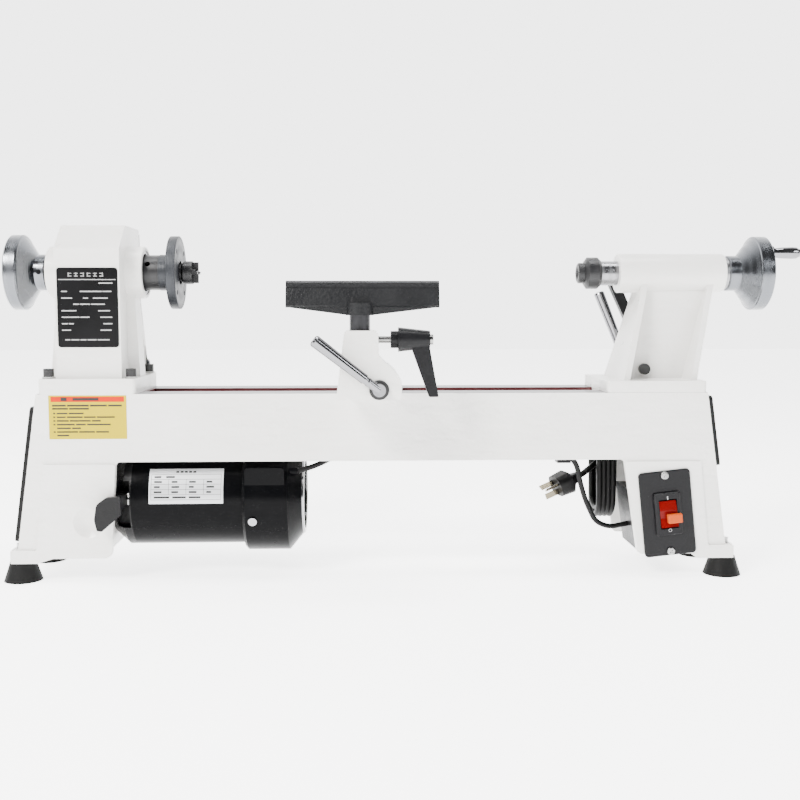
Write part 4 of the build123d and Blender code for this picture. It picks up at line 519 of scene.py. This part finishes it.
mesh_piece("bed_sticker_mark", "frame",
           [(at(-353, sticker_y - 0.38, 189.9), RIGHT, UP, 0.006, 0.0034, 0.00008),
            (at(-331, sticker_y - 0.38, 189.9), RIGHT, UP, 0.026, 0.0026, 0.00008)], ink_black)

# the motor's label, wrapped on its shell
SHELL = 0.0525


def onto_shell(point):
    """A flat point in front of the motor, laid on its round shell: height becomes arc."""
    lift = (BED_Y - SHELL) - point.y
    angle = (point.z - MOTOR_Z) / SHELL
    reach = SHELL + 0.00012 + lift
    return Vector((point.x, BED_Y - reach * math.cos(angle), MOTOR_Z + reach * math.sin(angle)))


label_z = MOTOR_Z * 1000 + 17.8
label_y = -SHELL * 1000
mesh_piece("motor_label", "motor", [(at(-232, label_y, label_z), RIGHT, UP, 0.0765, 0.0372, 0.00025)],
           label_silver, onto_shell)
lines = []
for dz in (-14.5, -9.2, -3.9, 1.4, 6.7, 12.0):
    lines.append((at(-232, label_y - 0.25, label_z + dz), RIGHT, UP, 0.0720, 0.00035, 0.00006))
for dx, low, high in ((-36, -14.5, 12.0), (36, -14.5, 12.0),
                      (-18, -9.2, 6.7), (0, -9.2, 6.7), (18, -9.2, 6.7)):
    lines.append((at(-232 + dx, label_y - 0.25, label_z + (low + high) / 2), RIGHT, UP, 0.00035,
                  (high - low) / 1000, 0.00006))
lines += bars(-243, -220, [label_z + 15], label_y - 0.25, 2.2, [(3.2, 1.2) * 5], 0.00006)
lines += bars(-265, -199, [label_z + 9.3, label_z + 4.0, label_z - 1.3, label_z - 6.6, label_z - 12.0],
              label_y - 0.25, 1.9, [(7, 5, 9), (8, 10, 6, 12, 7, 11, 6), (6, 12, 8, 10, 5, 13, 8),
                                    (8, 10, 7, 11, 8, 10, 5), (16, 3, 14, 3, 12)], 0.00006)
mesh_piece("motor_label_print", "motor", lines, ink_black, onto_shell)

# a bar and a ring moulded beside the switch, for on and off
lean = math.radians(6.2)
SWITCH_UP = Vector((-math.sin(lean), 0, math.cos(lean)))
SWITCH_RIGHT = Vector((math.cos(lean), 0, math.sin(lean)))
switch_centre = at(270, -65.05, 68.5)
MARK_OFFSET, RING_RADIUS, RING_STEPS = 0.0172, 0.0015, 14
marks = [(switch_centre + SWITCH_UP * MARK_OFFSET, SWITCH_RIGHT, SWITCH_UP, 0.0011, 0.0034, 0.0001)]
for k in range(RING_STEPS):
    turn = 2 * math.pi * k / RING_STEPS
    spot = (SWITCH_UP * (math.sin(turn) * RING_RADIUS - MARK_OFFSET)
            + SWITCH_RIGHT * (math.cos(turn) * RING_RADIUS))
    tangent = SWITCH_RIGHT * -math.sin(turn) + SWITCH_UP * math.cos(turn)
    side = tangent.cross(Vector((0, 1, 0)))
    upright = side.cross(SWITCH_RIGHT.cross(SWITCH_UP)) * -1
    marks.append((switch_centre + spot, side, upright, 0.0005, 0.0008, 0.0001))
mesh_piece("switch_marks", "frame", marks, ink_white)


# ---------------------------------------------------------------- mains cord
CORD_DIAMETER = 0.0064
CORD_EXIT = at(252, 0, 106)
cord_points = [CORD_EXIT, at(252, 0, 114), at(249.2, 2, 124), at(243.5, 5.5, 134), at(236, 10.5, 144)]
PER_TURN = 14
MID_Y, LOW_Z, HIGH_Z = 20.0, 79.0, 127.0


def loop_point(phase, radius):
    """A point on the hank's long loop; phase 0 is at the top, growing to the rear and down."""
    angle = 2 * math.pi * phase
    y = MID_Y + radius * math.sin(angle)
    z = (HIGH_Z if math.cos(angle) > 0 else LOW_Z) + radius * math.cos(angle)
    return y, z


# the outer layer runs away from the exit, the inner layer comes back inside it:
# turns, loop radius, starting x and the layer's shift along x
for turns, loop_radius, from_x, shift in ((4, 26.6, 228.7, -19.5), (3, 19.6, 209.4, 19.2)):
    count = turns * PER_TURN
    for k in range(count):
        y, z = loop_point(k / PER_TURN + 0.02, loop_radius)
        cord_points.append(at(from_x + shift * k / (count - 1), y, z))
cord_points += [at(229.5, 24, 146), at(228.5, 31, 137), at(225, 31, 126), at(219, 25.5, 117),
                at(212.5, 17, 112), at(206, 9.2, 108.6), at(199.5, 4.4, 105.2), at(193.9, 1.5, 101.3),
                PLUG_ROOT]

curve = bpy.data.curves.new("mains_cord", "CURVE")
curve.dimensions = "3D"
spline = curve.splines.new("NURBS")
spline.points.add(len(cord_points) - 1)
for entry, point in zip(spline.points, cord_points):
    entry.co = (*point, 1)
spline.order_u = 3
spline.use_endpoint_u = True
spline.resolution_u = 6
curve.bevel_depth = CORD_DIAMETER / 2
curve.bevel_resolution = 4
curve.use_fill_caps = True
cord = bpy.data.objects.new("mains_cord", curve)
bpy.context.collection.objects.link(cord)
curve.materials.append(black_satin("cord_rubber", (0.008, 0.008, 0.008), 0.42, 500, 0.0003))
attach(cord, "frame")
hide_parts("mains_cord_feed", "mains_cord_hank", "mains_cord_tail")

# ---------------------------------------------------------------- floor
floor_mesh = bpy.data.meshes.new("floor")
FLOOR_HALF = 6
floor_mesh.from_pydata([(x * FLOOR_HALF, y * FLOOR_HALF, 0) for x, y in ((-1, -1), (1, -1), (1, 1), (-1, 1))],
                       [], [(0, 1, 2, 3)])
floor = bpy.data.objects.new("floor", floor_mesh)
bpy.context.collection.objects.link(floor)
floor_shader = Shader("floor")
floor_shader.set(color=floor_shader.mix(floor_shader.noise(2, 3), (0.95, 0.95, 0.95), (0.92, 0.92, 0.92)),
                 rough=0.8)
floor_shader.bsdf.inputs["Specular IOR Level"].default_value = 0.05
floor_shader.bsdf.inputs["Emission Color"].default_value = (1, 1, 1, 1)
floor_shader.bsdf.inputs["Emission Strength"].default_value = 3.2
floor_mesh.materials.append(floor_shader.material)

world = bpy.data.worlds.new("studio")
world.use_nodes = True
# a bright sweep behind the object and overhead, and a dim room on the side that glossy fronts mirror
sky = world.node_tree
direction = sky.nodes.new("ShaderNodeTexCoord")
split = sky.nodes.new("ShaderNodeSeparateXYZ")
sky.links.new(direction.outputs["Generated"], split.inputs[0])
depth = sky.nodes.new("ShaderNodeMapRange")
depth.interpolation_type = "SMOOTHSTEP"
for socket, number in zip(depth.inputs[1:5], (-0.1, 0.75, 0.15, 4.2)):
    socket.default_value = number
sky.links.new(split.outputs["Y"], depth.inputs[0])
sky.links.new(depth.outputs["Result"], sky.nodes["Background"].inputs["Strength"])
sky.nodes["Background"].inputs["Color"].default_value = (1, 1, 1, 1)
bpy.context.scene.world = world
